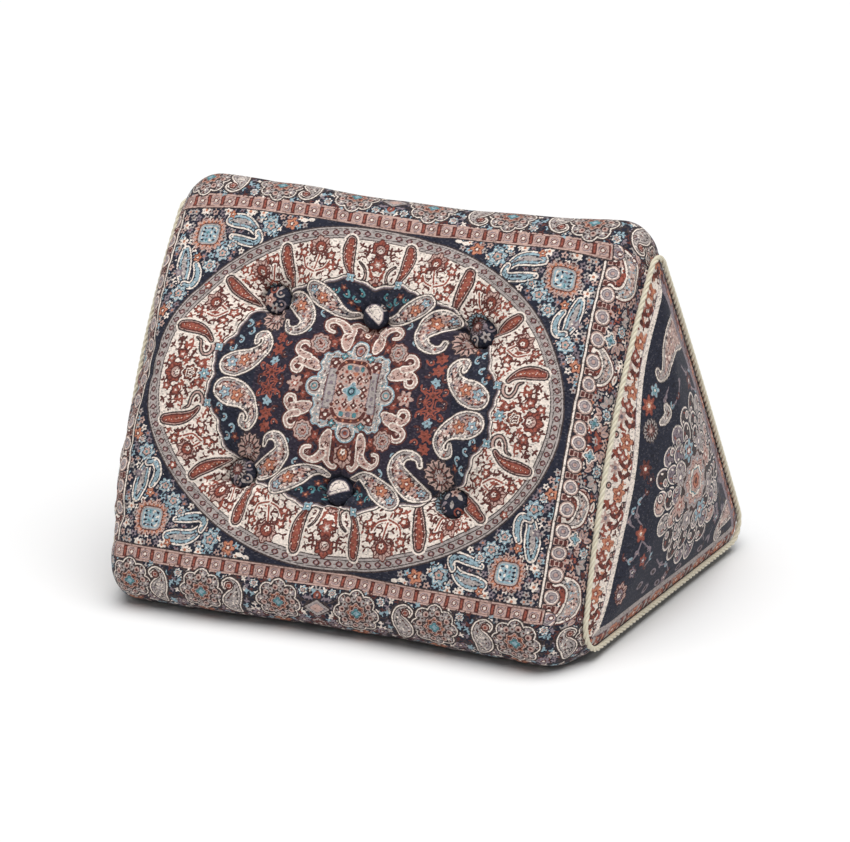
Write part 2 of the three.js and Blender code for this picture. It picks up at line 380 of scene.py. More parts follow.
class Chart:
    """Draws motifs on the points of a cloth, in flat coordinates (u, v), each over the last."""

    CELL = 12.0  # the points are sorted into cells of this size
    MARGIN = 14  # how far beyond a path's own points the marks inside its stroke may lie

    def __init__(self, amounts, u, v):
        self.amounts, self.u, self.v = amounts, u, v
        cells = np.stack([np.floor(u / self.CELL), np.floor(v / self.CELL)], -1).astype(int)
        order = np.lexsort(cells.T)
        breaks = np.flatnonzero(np.any(np.diff(cells[order], axis=0), axis=1)) + 1
        self.cells = {tuple(cells[group[0]]): group for group in np.split(order, breaks)}

    def near(self, u, v, reach):
        """Numbers of the points within about a reach of (u, v)."""
        low_u, high_u, low_v, high_v = (
            math.floor(edge / self.CELL) for edge in (u - reach, u + reach, v - reach, v + reach)
        )
        around = [(i, j) for i in range(low_u, high_u + 1) for j in range(low_v, high_v + 1)]
        found = [self.cells[cell] for cell in around if cell in self.cells]
        return np.concatenate(found) if found else np.zeros(0, int)

    def paint(self, layers, where=slice(None)):
        """Layers of yarn, each with the distance outside its edge at every point."""
        for yarn, distance in layers:
            share = cover(distance)[:, None]
            amounts = self.amounts[where] * (1 - share)
            amounts[:, YARN[yarn]] += share[:, 0]
            self.amounts[where] = amounts

    def lay(self, shape, *layers):
        """Nested colours of a shape that spans the whole cloth."""
        self.paint(nested(shape, *layers))

    def draw(self, motif, u, v, size, turn=0.0, flip=False, **options):
        """A motif of a size in millimetres at (u, v), turned anticlockwise by degrees."""
        where = self.near(u, v, size * 1.4 + 2)
        x, y = turned(self.u[where] - u, self.v[where] - v, turn)
        self.paint(motif(x, -y if flip else y, size, **options), where)

    def repeat(self, motif, places, turn=0.0, spin=0.0, **options):
        """One motif at places (u, v, size), each turned by spin more degrees for a millimetre of u."""
        for u, v, size in places:
            self.draw(motif, u, v, size, turn + spin * u, **options)

    def stroke(self, points, *layers):
        """Nested colours of a stroke along a smooth path."""
        path = smooth_path(points)
        middle = path.mean(0)
        reach = np.hypot(*(path[:, :2] - middle[:2]).T).max() + path[:, 2].max() + 2
        where = self.near(middle[0], middle[1], reach)
        self.paint(nested(strand(self.u[where], self.v[where], path), *layers), where)

    def line(self, points, half, *layers):
        """A stroke of one width."""
        self.stroke([(u, v, half) for u, v in points], *layers)

    def speckle(self, inside, low, high, step, marks, size, seed):
        """Small leaves and spots all over a shape; inside(u, v) is the distance outside its edge."""
        places = []
        scatter(low, high, step, lambda *place: places.append(place), seed)
        u, v, turn, pick = np.array(places).T
        for i in np.flatnonzero(inside(u, v) < -size * 0.75):
            yarn = marks[int(pick[i]) % len(marks)]
            self.draw(mark, u[i], v[i], size, turn[i], yarn=yarn, kind=int(pick[i] / 10) % 3)

    def filled(self, paths, layers, inset, step, marks, size, seed):
        """Strokes along paths with small leaves and spots inside them."""
        for number, path in enumerate(paths):
            self.stroke(path, *layers)
            smooth = smooth_path(path)
            low, high = smooth[:, :2].min(0) - self.MARGIN, smooth[:, :2].max(0) + self.MARGIN

            def inside(u, v):
                return strand(u, v, smooth) + inset

            self.speckle(inside, low, high, step, marks, size, seed + number)


# Motifs, each drawn about its own middle or foot: lists of yarns and the distance outside each edge

def disc_spot(x, y, size, yarn):
    return [(yarn, disc(x, y, size))]


def mark(x, y, size, yarn, kind=0):
    """A leaf, a spot or a small cross."""
    if kind == 0:
        return [(yarn, leaf(x, y, size, size * 0.5))]
    if kind == 1:
        return [(yarn, disc(x, y, size * 0.5))]
    return [(yarn, petals(x, y, size * 0.75, 4, 0.9))]


def sprig(x, y, size, yarn, kind):
    """Small leaves on a short stem, in three forms."""
    stem = np.maximum(np.abs(y) - 0.6, np.abs(x + size * 0.25) - size * 0.5)
    turns = ((-62, 0, 62), (-35, 40), (-75, -15, 50))[kind]
    return [(yarn, np.minimum(stem, fan(x, y, turns, size * 0.55, size * 0.9, size * 0.46)))]


def curl(x, y, size, yarn="red"):
    """A leaf that curls over, drawn in line."""
    hook = np.maximum(ring(disc(x, y, size * 0.5), 1.6), x - size * 0.3)
    tail = leaf(x - size * 0.35, y - size * 0.6, size * 0.8, size * 0.45)
    return [(yarn, np.minimum(hook, tail)), ("rose", disc(x, y, size * 0.16))]


def wings(x, y, size, yarn="maroon"):
    """Two curved leaves that spread from a stem along +x."""
    stem = np.maximum(np.abs(y) - 0.8, np.abs(x - size * 0.1) - size * 0.4)
    shape = np.minimum(stem, fan(x, y, (-42, 42), size * 0.55, size * 1.1, size * 0.42))
    return [(yarn, shape), ("red", disc(x - size * 0.2, y, size * 0.16))]


def pale_spray(x, y, size, yarn, heart):
    """Three pale leaves that spread from one foot."""
    shape = fan(x + size * 0.4, y, (-48, 0, 48), size * 0.6, size * 1.2, size * 0.56)
    veins = fan(x + size * 0.4, y, (-48, 0, 48), size * 0.6, size * 0.7, size * 0.14)
    foot = disc(x + size * 0.3, y, size * 0.16)
    return [*nested(shape, "navy", -1.2, yarn, 0), (heart, veins), ("maroon", foot)]


def floret(x, y, size, petal="red", eye="cream", count=5):
    return [(petal, petals(x, y, size, count, 0.5)), (eye, disc(x, y, size * 0.3))]


def petal_flower(x, y, size, petal="orange", eye="red", count=5):
    """Round petals about an eye, each with a dark rim."""
    return [
        *nested(petals(x, y, size, count, 0.42), "maroon", -0.7, petal, 0.2),
        (eye, petals(x, y, size * 0.5, count, 0.5)),
        ("cream", disc(x, y, size * 0.2)),
    ]


def petals_spot(x, y, size):
    """A small dark flower with a light middle."""
    return [("maroon", petals(x, y, size, 4, 0.35)), ("cream", disc(x, y, size * 0.3))]


def blue_flower(x, y, size):
    rim = petals(x, y, size, 7, 0.3)
    return [
        *nested(rim, "navy", -1, "sky", 0),
        ("cream", ring(rim + size * 0.22, 1)),
        ("navy", petals(x, y, size * 0.56, 5, 0.3)),
        ("rose", petals(x, y, size * 0.44, 5, 0.3)),
        ("teal", disc(x, y, size * 0.16)),
    ]


def teal_star(x, y, size):
    shape = petals(x, y, size, 4, 0.4)
    return [*nested(shape, "cream", -1.4, "ink", 0, "sky", 0.9), ("teal", disc(x, y, size * 0.3))]


def vine_flower(x, y, size, yarn):
    """A flower of open strokes, on the ground's own colour."""
    outer = ring(petals(x, y, size * 0.85, 6, 0.4), 1.7)
    inner = petals(x, y, size * 0.42, 5, 0.5, 0.6)
    spokes = np.maximum(rays(x, y, 3, 1.5), np.hypot(x, y) - size)
    return [(yarn, np.minimum(np.minimum(outer, inner), spokes)), ("maroon", disc(x, y, size * 0.16))]


def full_rose(x, y, size):
    """A full round flower with two rows of petals."""
    rim = petals(x, y, size, 7, 0.2)
    inner = petals(x, y, size * 0.6, 5, 0.3, 0.5)
    return [
        *nested(rim, "cream", -1.2, "maroon", 0, "orange", 1.4),
        ("maroon", np.maximum(rays(x, y, 7, 1.0), rim + 1)),
        ("cream", ring(inner, 1.1)),
        *nested(inner, "maroon", 0.6, "cream", 1.8),
        ("maroon", disc(x, y, size * 0.16)),
    ]


def chrysanthemum(x, y, size, light="rose"):
    """A round flower of many narrow petals in two rings."""
    rim = petals(x, y, size, 14, 0.16)
    inner = petals(x, y, size * 0.55, 8, 0.3)
    return [
        *nested(rim, "ink", -1.2, light, 0),
        ("ink", np.maximum(rays(x, y, 7, 1.5), rim + 1)),
        *nested(inner, "maroon", -0.6, "pale", 0.6),
        ("maroon", np.maximum(rays(x, y, 4, 1.1), inner + 1)),
        ("rose", disc(x, y, size * 0.2)),
    ]


def palmette(x, y, size, fill="rose", heart="red", lobes=7):
    """A fan of petals that opens along +x."""
    angle, radius = np.arctan2(y, x), np.hypot(x, y)
    open_to = 0.75 + 0.25 * np.cos(angle)
    rim = radius - size * open_to * (0.92 + 0.1 * np.cos(lobes * angle))
    core = radius - size * 0.48 * open_to
    return [
        *nested(rim, "maroon", 0, fill, 1.3),
        ("maroon", np.maximum(rays(x, y, lobes, 1.0), rim + 2)),
        *nested(core, "maroon", -0.9, heart, 0.4),
        ("maroon", np.maximum(rays(x, y, 5, 0.9), core + 1.4)),
        ("cream", petals(x, y, size * 0.2, 5, 0.4)),
        ("maroon", radius - size * 0.07),
    ]


def corner_palmette(x, y, size):
    """A square flower head with a fringe of small petals, speckled inside."""
    box = (x**4 + (y * 1.06) ** 4) ** 0.25 - size * 0.52
    fringe = box - size * 0.26 - 1.4 * np.cos(20 * np.arctan2(y, x))
    layers = [
        *nested(fringe, "maroon", -0.9, "rose", 0, "orange", 1.9),
        ("maroon", np.maximum(np.maximum(rays(x, y, 16, 0.9), fringe + 2.4), -box)),
        *nested(box, "maroon", -1.5, "pale", -0.8, "sky", 0.8),
        ("cream", ring(box + 2.8, 0.9)),
    ]
    for i, yarn in enumerate(("navy", "cream", "teal", "navy", "cream", "navy", "mauve", "navy") * 2):
        a, b = turned(x - (i % 4 - 1.5) * size * 0.2, y - (i // 4 - 1.5) * size * 0.2, 50 * i)
        layers.append((yarn, leaf(a, b, size * 0.2, size * 0.1)))
    return layers


def large_rosette(x, y, size):
    """Eight pale curled lobes about a teal middle."""
    sector = (np.arctan2(y, x) + np.pi / 8) % (np.pi / 4) - np.pi / 8
    radius = np.hypot(x, y)
    a, b = radius * np.cos(sector) - size * 0.66, radius * np.sin(sector)
    hook = np.hypot(a + size * 0.02, b - size * 0.12) - size * 0.15
    inner = petals(x, y, size * 0.5, 8, 0.2)
    layers = [
        *nested(np.hypot(a, b) - size * 0.34, "ink", -1.3, "cream", 0, "ink", 1.2, "pale", 2.1),
        ("ink", ring(hook, 0.9)),
        ("rose", hook + 0.9),
        ("maroon", np.hypot(a + size * 0.04, b - size * 0.12) - size * 0.06),
    ]
    for spot_a, spot_b, yarn in (
        (0.2, 0.02, "maroon"), (0.16, -0.14, "mauve"), (0.04, -0.2, "ink"), (-0.06, -0.12, "maroon"),
        (0.1, -0.04, "cream"), (0.17, 0.15, "ink"),
    ):
        layers.append((yarn, np.hypot(a - size * spot_a, b - size * spot_b) - size * 0.045))
    return layers + [
        ("ink", inner - 0.6),
        ("rose", ring(inner + 1.1, 1.2)),
        ("maroon", inner + 2.2),
        ("orange", ring(petals(x, y, size * 0.38, 8, 0.3), 1.0)),
        ("pale", ring(petals(x, y, size * 0.29, 4, 0.35), 1.0)),
        ("teal", petals(x, y, size * 0.23, 4, 0.35)),
        ("sky", petals(x, y, size * 0.12, 4, 0.3)),
    ]


def roundel(x, y, size, bands):
    step = size / (len(bands) + 0.6)
    return [(yarn, disc(x, y, size - i * step)) for i, yarn in enumerate(bands)]


def curl_spot(x, y, size):
    """The dark red curl in a paisley's bend."""
    return [
        ("maroon", disc(x, y, size)),
        ("rose", ring(disc(x, y, size * 0.55), 0.9)),
        ("red", disc(x, y, size * 0.34)),
    ]


def bud(x, y, size):
    """A small dark ring with a red middle."""
    return [("ink", disc(x, y, size)), ("rose", disc(x, y, size * 0.62)), ("red", disc(x, y, size * 0.3))]


def lozenge(x, y, size):
    shape = (np.abs(x) + np.abs(y) * 1.5 - size) * 0.7
    return [*nested(shape, "ink", -1.2, "pale", 0), ("mauve", ring(shape + 3, 0.9)), ("rose", shape + 4)]


def half_moon(x, y, size):
    """A pale half disc, flat towards -y."""
    shape = np.maximum(disc(x, y, size), -y - size * 0.15)
    return [*nested(shape, "mauve", -0.9, "cream", 0), ("mauve", ring(shape + 2.4, 0.8))]


def scroll_lobe(x, y, size, body):
    """A lobe that curls over to one side."""
    rim = np.hypot(x * 0.9, y * 1.12) - size
    hook = disc(x + size * 0.34, y + size * 0.3, size * 0.4)
    vein = np.maximum(ring(disc(x + size * 0.3, y + size * 0.2, size * 0.84), 1.0), rim + 1.6)
    return [
        *nested(rim, "navy", -1.3, "cream", 0, "mauve", 1.5, body, 2.5),
        ("navy", vein),
        *nested(hook, "navy", -0.9, "cream", 0.5, "mauve", size * 0.16),
        ("rose", disc(x + size * 0.36, y + size * 0.3, size * 0.12)),
        ("red", leaf(x - size * 0.3, y + size * 0.36, size * 0.5, size * 0.16)),
        ("cream", leaf(x - size * 0.34, y - size * 0.4, size * 0.5, size * 0.18)),
        ("ink", disc(x - size * 0.02, y - size * 0.42, size * 0.1)),
    ]


def medallion_heart(x, y, size):
    """A rose flower head with rings of small petals in several colours."""
    layers = [(yarn, petals(x, y, size * reach, count, 0.14)) for reach, count, yarn in (
        (1.0, 11, "maroon"), (0.96, 11, "pale"), (0.86, 11, "mauve"), (0.82, 11, "rose"), (0.6, 9, "maroon"),
        (0.56, 9, "cream"), (0.47, 7, "teal"), (0.42, 7, "rose"), (0.27, 6, "red"), (0.2, 6, "orange"),
        (0.12, 4, "maroon"),
    )]
    for number in range(11):
        angle = 2 * math.pi * number / 11
        spot = disc(x - size * 0.7 * math.cos(angle), y - size * 0.7 * math.sin(angle), size * 0.07)
        layers += [("red" if number % 2 else "sky", spot), ("cream", spot + size * 0.04)]
    return layers


# The design of the front, in millimetres from its middle, is mirrored both ways.
OVAL = (213.5, 164.5)
OVAL_BEADS = 118
OVAL_LINES = (
    "ink", -1.4, "pale", 0, "ink", 1.5, "pale", 2.4, "ink", 8.3, "pale", 9.2, "ink", 11.2, "cream", 12.2,
)
FIELD = (146.0, 108.0)
GUARD = (168.0, 180.0)
GUARD_STEP = 15.6
SIDE_LINE = 222.0
SIDE_STEP = 21.1
SIDE_FIRST = 7.0
SIDE_BARS = [("rose", 6.6, 3.2), ("maroon", 5.6, 2.3), ("rose", 2.4, 2.4), ("maroon", 1.4, 1.6)]
BAND_STEP = 81.5
BAND_FLOWERS = 21.5  # from the guard's outer edge to the middles of the large flowers
BAND_WIDTH = 74.0

# Nested colours of a stroke, each followed by its inset from the edge
RED_PAISLEY = ("cream", -1.7, "ink", 0, "rose", 1.4, "maroon", 2.2, "red", 3.6)
RED_TAIL = ("cream", -1.5, "ink", 0, "rose", 1.4)
PALE_PAISLEY = ("ink", -1, "cream", 0, "ink", 1.5, "pale", 2.3, "maroon", 4.3, "rose", 5.1)
BLUE_PAISLEY = ("navy", -1.2, "cream", 0, "navy", 1.5, "sky", 2.4, "navy", 4.3, "pale", 5.1)
BAND_PAISLEY = ("ink", -1.6, "cream", 0, "ink", 1.4, "pale", 2.3, "ink", 4.6, "pale", 5.4)
SIDE_PAISLEY = ("maroon", -1.4, "cream", 0, "ink", 2.1, "pale", 2.9, "rose", 5.0)

# Smooth paths in one quarter of the design, each point (u, v, half width)
RED_PATHS = [
    [(31, 149, 5.6), (31.5, 139, 7), (30, 128, 6.2), (27, 119, 4.2), (23.5, 113.5, 2.8)],
    [(97, 131, 5.6), (95.5, 122, 6.8), (91.5, 111, 5.6), (87.5, 101, 4), (85.5, 92, 2.6)],
    [(152, 95, 5.4), (145, 88, 6.8), (137, 81, 5.8), (130, 76, 4), (122, 73, 2.4)],
    [(189, 45, 5.6), (179, 44.5, 7), (169, 42.5, 6), (161, 38, 4), (156.5, 33, 3)],
]
TAIL_PATHS = [
    [(25, 115, 2.8), (20, 110, 2.3), (14, 111, 2), (11.5, 117, 1.9), (13.5, 124, 1.8), (19, 129, 1.5)],
    [(157.5, 34, 3), (153, 27, 2.6), (155, 20, 2.4), (161, 18.5, 2.2), (165, 24, 2.1), (166.5, 31, 2),
     (171, 34, 1.6)],
]
PALE_PATHS = [
    [(61, 96, 8), (54, 91, 10.5), (44, 85, 10), (34, 78, 6.5), (24, 75, 4), (15, 78, 3)],
    [(86, 84, 7), (78, 82, 10.5), (68, 74, 10.5), (61, 64, 8), (64, 54, 6), (72, 50, 4.5), (80, 52, 3.4),
     (82, 58, 2.6)],
    [(131, 12, 11), (124, 14, 13), (113, 17, 11), (103, 24, 8), (98, 34, 6), (102, 42, 4.6), (109, 41, 3.8),
     (109, 35, 2.8)],
]
SCROLL_PATHS = [
    [(40, 19, 4.4), (46, 21.5, 6.4), (53, 22.5, 5.4), (60.5, 21.5, 3.6), (64.5, 17, 2.4), (62, 12, 2.1),
     (56.5, 12, 2), (54.5, 16, 1.8)],
    [(50, 27, 3.6), (57, 28.5, 3.6), (62.5, 33, 2.8), (60, 39, 2.3), (54, 40, 2.1), (49.5, 36, 1.8)],
    [(16, 41, 3.6), (18, 48, 6), (18.5, 56, 5.4), (17.5, 64, 3.4), (13, 68, 2.3), (7.5, 66, 2.1),
     (8, 60.5, 1.8)],
    [(21, 59, 4), (27, 65, 3.4), (34, 67, 2.8), (40, 63, 2.3), (38.5, 57, 2), (33, 55.5, 1.8)],
]
BLUE_PATHS = [
    [(166, 154, 5), (158, 154, 7.4), (148, 153, 7.4), (139, 149, 5.6), (132, 142, 4)],
    [(132, 144, 3.6), (130, 137, 4.2), (135, 133, 4.6), (144, 134, 5), (154, 136, 4.4), (161, 138, 3)],
    [(207, 122, 5), (206, 112, 7.4), (204, 101, 7.4), (202, 92, 5.6), (199, 85, 4)],
    [(200, 87, 3.8), (193, 86, 4.2), (189, 92, 4.4), (189, 101, 4.4), (193, 109, 3.4)],
]
STEMS = [
    [(66, 106), (63, 118), (61, 131)],
    [(64, 112), (54, 116), (49, 124)],
    [(64, 112), (74, 116), (78, 124)],
    [(108, 92), (114, 100), (121, 104)],
    [(112, 97), (109, 105), (108, 115)],
    [(141, 56), (150, 64), (158, 70)],
    [(148, 62), (158, 57), (168, 60)],
]

# Paths that are repeated, about each one's own middle
BAND_PATH = [
    (15, -8, 1.8), (17, -13, 2), (11, -16.5, 2.6), (4.5, -13, 3.8), (3, -5, 6), (7, 3, 9.4), (9, 8, 9.6),
    (7, 16, 7), (4, 22, 4),
]
CRESCENT = [
    (8, -12, 2), (13, -15, 3.4), (21, -12, 5.6), (25, -3, 7.4), (22, 7, 6.4), (15, 14, 4), (9, 14, 2.4),
    (7, 9, 1.8),
]


def placed(path, u, v, scale=1):
    """A path moved to (u, v) and scaled."""
    return [(u + du * scale, v + dv * scale, half * scale) for du, dv, half in path]


def field_edge(u, v):
    """Distance outside the inner field, whose edge has sixteen shallow scallops."""
    angle = np.arctan2(v / FIELD[1], u / FIELD[0])
    return ellipse(u, v, *FIELD) + 2.8 * np.cos(16 * angle) + 0.8 * np.cos(48 * angle)


def frame_edge(u, v):
    """Distance outside the square frame with its waved sides and a bulge in each."""
    box = np.maximum(u - 36 - 1.3 * np.cos(v / 1.9), v - 36 - 1.3 * np.cos(u / 1.9))
    bulges = np.minimum(disc(u - 37, v, 9.5), disc(u, v - 38, 9.5))
    return np.minimum(np.maximum(box, (u + v - 68) * 0.7), bulges)


def draw_spandrels(chart):
    """The dark corners outside the oval, full of light-blue flowers."""

    def small_flower(u, v, turn, pick):
        if ellipse(u, v, *OVAL) > 4:
            petal = ("sky", "pale", "mauve", "rose", "pale", "cream", "mauve")[pick % 7]
            chart.draw(floret, u, v, 3.7, turn, petal=petal, eye=("maroon", "navy", "orange")[pick % 3])

    scatter((84, 40), (224, 170), 7.4, small_flower, 5)
    chart.repeat(mark, [(85, 162, 8), (78, 163.5, 8)], -8, yarn="cream")
    chart.filled(BLUE_PATHS, BLUE_PAISLEY, 0.6, 3.6, ("cream", "mauve", "navy", "sky"), 1.9, 70)
    chart.draw(corner_palmette, 187, 140, 20)
    chart.repeat(blue_flower, [
        (120, 152, 10), (167, 121, 8.4), (178, 108, 7.4), (158, 130, 6), (203, 77, 9), (210, 65, 5),
    ], spin=10)
    chart.repeat(floret, [
        (196, 164, 4.6), (170, 163, 5), (214, 148, 5), (212, 131, 5), (145, 164, 5), (131, 164, 4.6),
    ], 20, petal="cream", eye="orange")
    chart.repeat(petal_flower, [
        (98, 157, 7), (193, 116, 4.6), (216, 60, 6), (164, 160, 4),
    ], 30, eye="maroon")
    chart.draw(floret, 209, 99, 5, petal="mauve", eye="pale")


def draw_ring(chart):
    """The cream ring with its red paisleys and sprays, inside the oval guard."""
    rim = ellipse(chart.u, chart.v, *OVAL)
    chart.lay(rim, *OVAL_LINES)
    angle = np.arctan2(chart.v / OVAL[1], chart.u / OVAL[0])
    beads = np.hypot(rim + 5.4, 1.6 * OVAL[0] / OVAL_BEADS * np.sin(OVAL_BEADS / 2 * angle))
    chart.paint([("mauve", beads - 2.4), ("maroon", ring(beads - 2, 0.9)), ("rose", beads - 0.9)])

    def leaves(u, v, turn, pick):
        if ellipse(u, v, *OVAL) < -15.5 and field_edge(u, v) > 6.5:
            chart.draw(sprig, u, v, 4.7, turn, yarn="red" if pick % 5 == 3 else "maroon", kind=pick % 3)

    scatter((-4, -4), (212, 165), 6.9, leaves, 3)
    for stem in STEMS:
        chart.line(stem, 0.8, "cream", -1, "red", 0)
    for u, v, size in ((61, 136, 14), (121, 107, 13), (161, 71, 13)):
        outward = math.degrees(math.atan2(v / OVAL[1] ** 2, u / OVAL[0] ** 2))
        chart.draw(palmette, u, v, size, outward, lobes=8)
    chart.repeat(petal_flower, [
        (47, 118, 4.6), (49, 130, 4.4), (78, 112, 4.6), (79, 130, 5), (107, 121, 4.6), (110, 98, 5),
        (139, 106, 4.6), (142, 61, 5), (177, 63, 4.6), (150, 53, 4.6), (174, 88, 4), (70, 103, 4.4),
    ], spin=15, petal="red", eye="cream")
    chart.draw(palmette, 0, 143, 12.5, 90, fill="red", heart="rose")
    chart.draw(petal_flower, 0, 129, 8, petal="red", eye="rose", count=6)
    chart.draw(palmette, 0, 106, 12, 90)
    chart.draw(palmette, 184, 0, 14, fill="red", heart="rose")
    chart.draw(full_rose, 170, 0, 8.4)
    chart.draw(petal_flower, 155, 0, 6, petal="sky", eye="teal", count=6)
    chart.repeat(petal_flower, [
        (182, 17, 4.6), (160, 9, 4.6), (193, 13, 4.6),
    ], 40, petal="red", eye="rose")
    for path in TAIL_PATHS:
        chart.stroke(path, *RED_TAIL)
    for path in RED_PATHS:
        chart.stroke(path, *RED_PAISLEY)
        for u, v, half in smooth_path(path, 2)[1:-3]:
            chart.draw(disc_spot, u, v, 0.9, yarn="orange")
            for beside in (-0.5, 0.5):
                chart.draw(disc_spot, u + beside * half, v + beside * 2, 0.6, yarn="cream")


def draw_field(chart):
    """The dark inner field with its pale paisleys."""
    edge = field_edge(chart.u, chart.v)
    chart.lay(edge, "ink", -5.0, "cream", -3.9, "mauve", -2.5, "ink", -1.3, "navy", 0)
    chart.lay(np.maximum(edge, np.maximum(chart.u - 103, chart.v - 76)), "plum", 0)
    for v, size, yarn in ((43, 6, "red"), (31, 6.5, "red"), (19, 5, "sky"), (7, 11, "red")):
        chart.draw(vine_flower, 84, v, size, 15 * v, yarn=yarn)
    for u, v, yarn in (
        (75, 38, "red"), (93, 36, "red"), (76, 26, "maroon"), (92, 24, "maroon"), (74, 12, "red"),
        (95, 13, "red"), (73, 2, "maroon"), (96, 2, "maroon"), (79, 48, "maroon"),
    ):
        chart.draw(curl, u, v, 5, 40 * u, yarn=yarn)
    for u, v, turn in (
        (57, 54, 30), (46, 72, 200), (119, 45, 40), (127, 37, 10), (133, 28, 80), (38, 97, 90), (28, 95, 60),
        (20, 93, 140), (14, 100, 20), (124, 52, 10),
    ):
        chart.draw(curl, u, v, 5, turn, yarn="sky" if u > 40 else "teal")
    chart.repeat(floret, [
        (24, 88, 4), (31, 101, 4), (17, 84, 4), (136, 33, 4), (116, 52, 4),
    ], spin=20, petal="maroon", eye="orange")
    marks = ("maroon", "cream", "navy", "cream", "mauve", "red", "cream", "ink")
    chart.filled(PALE_PATHS, PALE_PAISLEY, 1.2, 2.9, marks, 2.3, 30)
    chart.repeat(petal_flower, [(50, 87, 6), (72, 77, 6.4), (117, 17, 6.4)], spin=20)
    chart.repeat(petal_flower, [
        (60, 95, 4.6), (85, 83, 4), (130, 15, 6),
    ], spin=20, petal="sky", eye="mauve")
    chart.draw(chrysanthemum, 100, 62, 14, 60)
    chart.draw(chrysanthemum, 108, 87, 11, 100, light="sky")
    chart.repeat(petal_flower, [(26, 112, 5), (147, 27, 5)], 45, petal="sky", eye="teal", count=4)


def draw_medallion(chart):
    """The lobed square in the middle, ringed by scrolls."""
    chart.repeat(floret, [
        (42, 42, 10), (52, 0, 9), (0, 57, 12), (46, 31, 8), (30, 46, 8), (47, 10, 7), (12, 47, 8),
    ], petal="maroon", eye="red", count=6)
    for path in SCROLL_PATHS:
        chart.stroke(path, "maroon", -1.5)
    chart.repeat(floret, [
        (45, 32, 3), (29, 44, 3.4), (36, 50, 3), (25, 49, 2.6), (48, 8, 3), (11, 44, 2.6),
    ], 30, petal="red", eye="rose", count=4)
    marks = ("maroon", "cream", "maroon", "mauve", "red")
    chart.filled(SCROLL_PATHS, ("cream", 0, "rose", 1.3), 1.0, 2.9, marks, 2.0, 80)
    chart.repeat(disc_spot, [
        (60, 16.5, 2.2), (12.5, 62.5, 2.2), (55, 34.5, 2.2), (33.5, 60, 2.2),
    ], yarn="maroon")
    chart.repeat(mark, [(56, 33.5, 2.6), (35, 60.5, 2.6)], spin=40, yarn="rose", kind=2)
    chart.repeat(mark, [
        (46, 21, 2.6), (52, 23, 2.6), (18, 50, 2.6), (20, 57, 2.6),
    ], spin=40, yarn="maroon", kind=2)
    chart.lay(
        petals(chart.u - 42, chart.v - 42, 9.6, 9, 0.14),
        "maroon", -1.2, "rose", 0, "maroon", 1.7, "pale", 2.6, "red", 4.6, "rose", 5.6, "maroon", 7,
    )
    chart.draw(petal_flower, 58, 0, 8.5, petal="rose", count=6)
    chart.draw(palmette, 0, 55, 14, 90, heart="orange")
    chart.lay(frame_edge(chart.u, chart.v), "maroon", -1.5, "sky", -0.4, "cream", 1.0, "pale", 1.8)
    marks = ("sky", "maroon", "cream", "mauve", "sky", "cream", "teal", "ink")
    chart.speckle(lambda u, v: frame_edge(u, v) + 1.2, (-3, -3), (50, 50), 2.8, marks, 2.1, 41)
    chart.lay(np.maximum(chart.u - 27.5, chart.v - 30), "maroon", 0, "rose", 1.1)
    marks = ("cream", "maroon", "cream", "orange", "red", "pale")
    chart.speckle(lambda u, v: np.maximum(u - 28, v - 30), (-2, -2), (29, 31), 3.8, marks, 2.1, 43)
    chart.lay(np.maximum(np.abs(chart.u - 22) - 4, chart.v - 19), "mauve", -0.6, "pale", 0.4)
    chart.draw(roundel, 38, 0, 5.6, bands=("maroon", "pale", "teal", "rose"))
    chart.draw(roundel, 0, 39, 5.6, bands=("maroon", "rose", "mauve", "red"))
    chart.draw(petal_flower, 14.5, 32, 3.8, petal="teal", eye="sky", count=4)
    chart.stroke([(0, 28, 1.9), (8, 27.5, 1.9), (14, 24, 1.9), (17, 19, 1.6)], "rose", -1, "maroon", 0)
    chart.repeat(disc_spot, [(4, 28, 1.2), (11.5, 26, 1.2)], yarn="orange")
    chart.repeat(petals_spot, [(22, 25, 5.4), (12.5, 3, 3.8), (5, 13, 3.6), (13, 12, 2.8)])
    for u, v, size, yarn in (
        (7, 22, 2.4, "teal"), (0, 22, 2.6, "mauve"), (0, 17, 2, "orange"), (18, 15, 1.8, "maroon"),
        (9, 17.5, 1.6, "red"), (22, 5, 2, "mauve"), (22, 12, 1.6, "mauve"),
    ):
        chart.draw(disc_spot, u, v, size, yarn=yarn)
    chart.draw(floret, 0, 0, 10.5, petal="cream", eye="sky", count=4)
    chart.draw(floret, 0, 0, 9.4, petal="sky", eye="teal", count=4)
    chart.draw(roundel, 0, 0, 6.2, bands=("sky", "teal", "navy", "sky"))


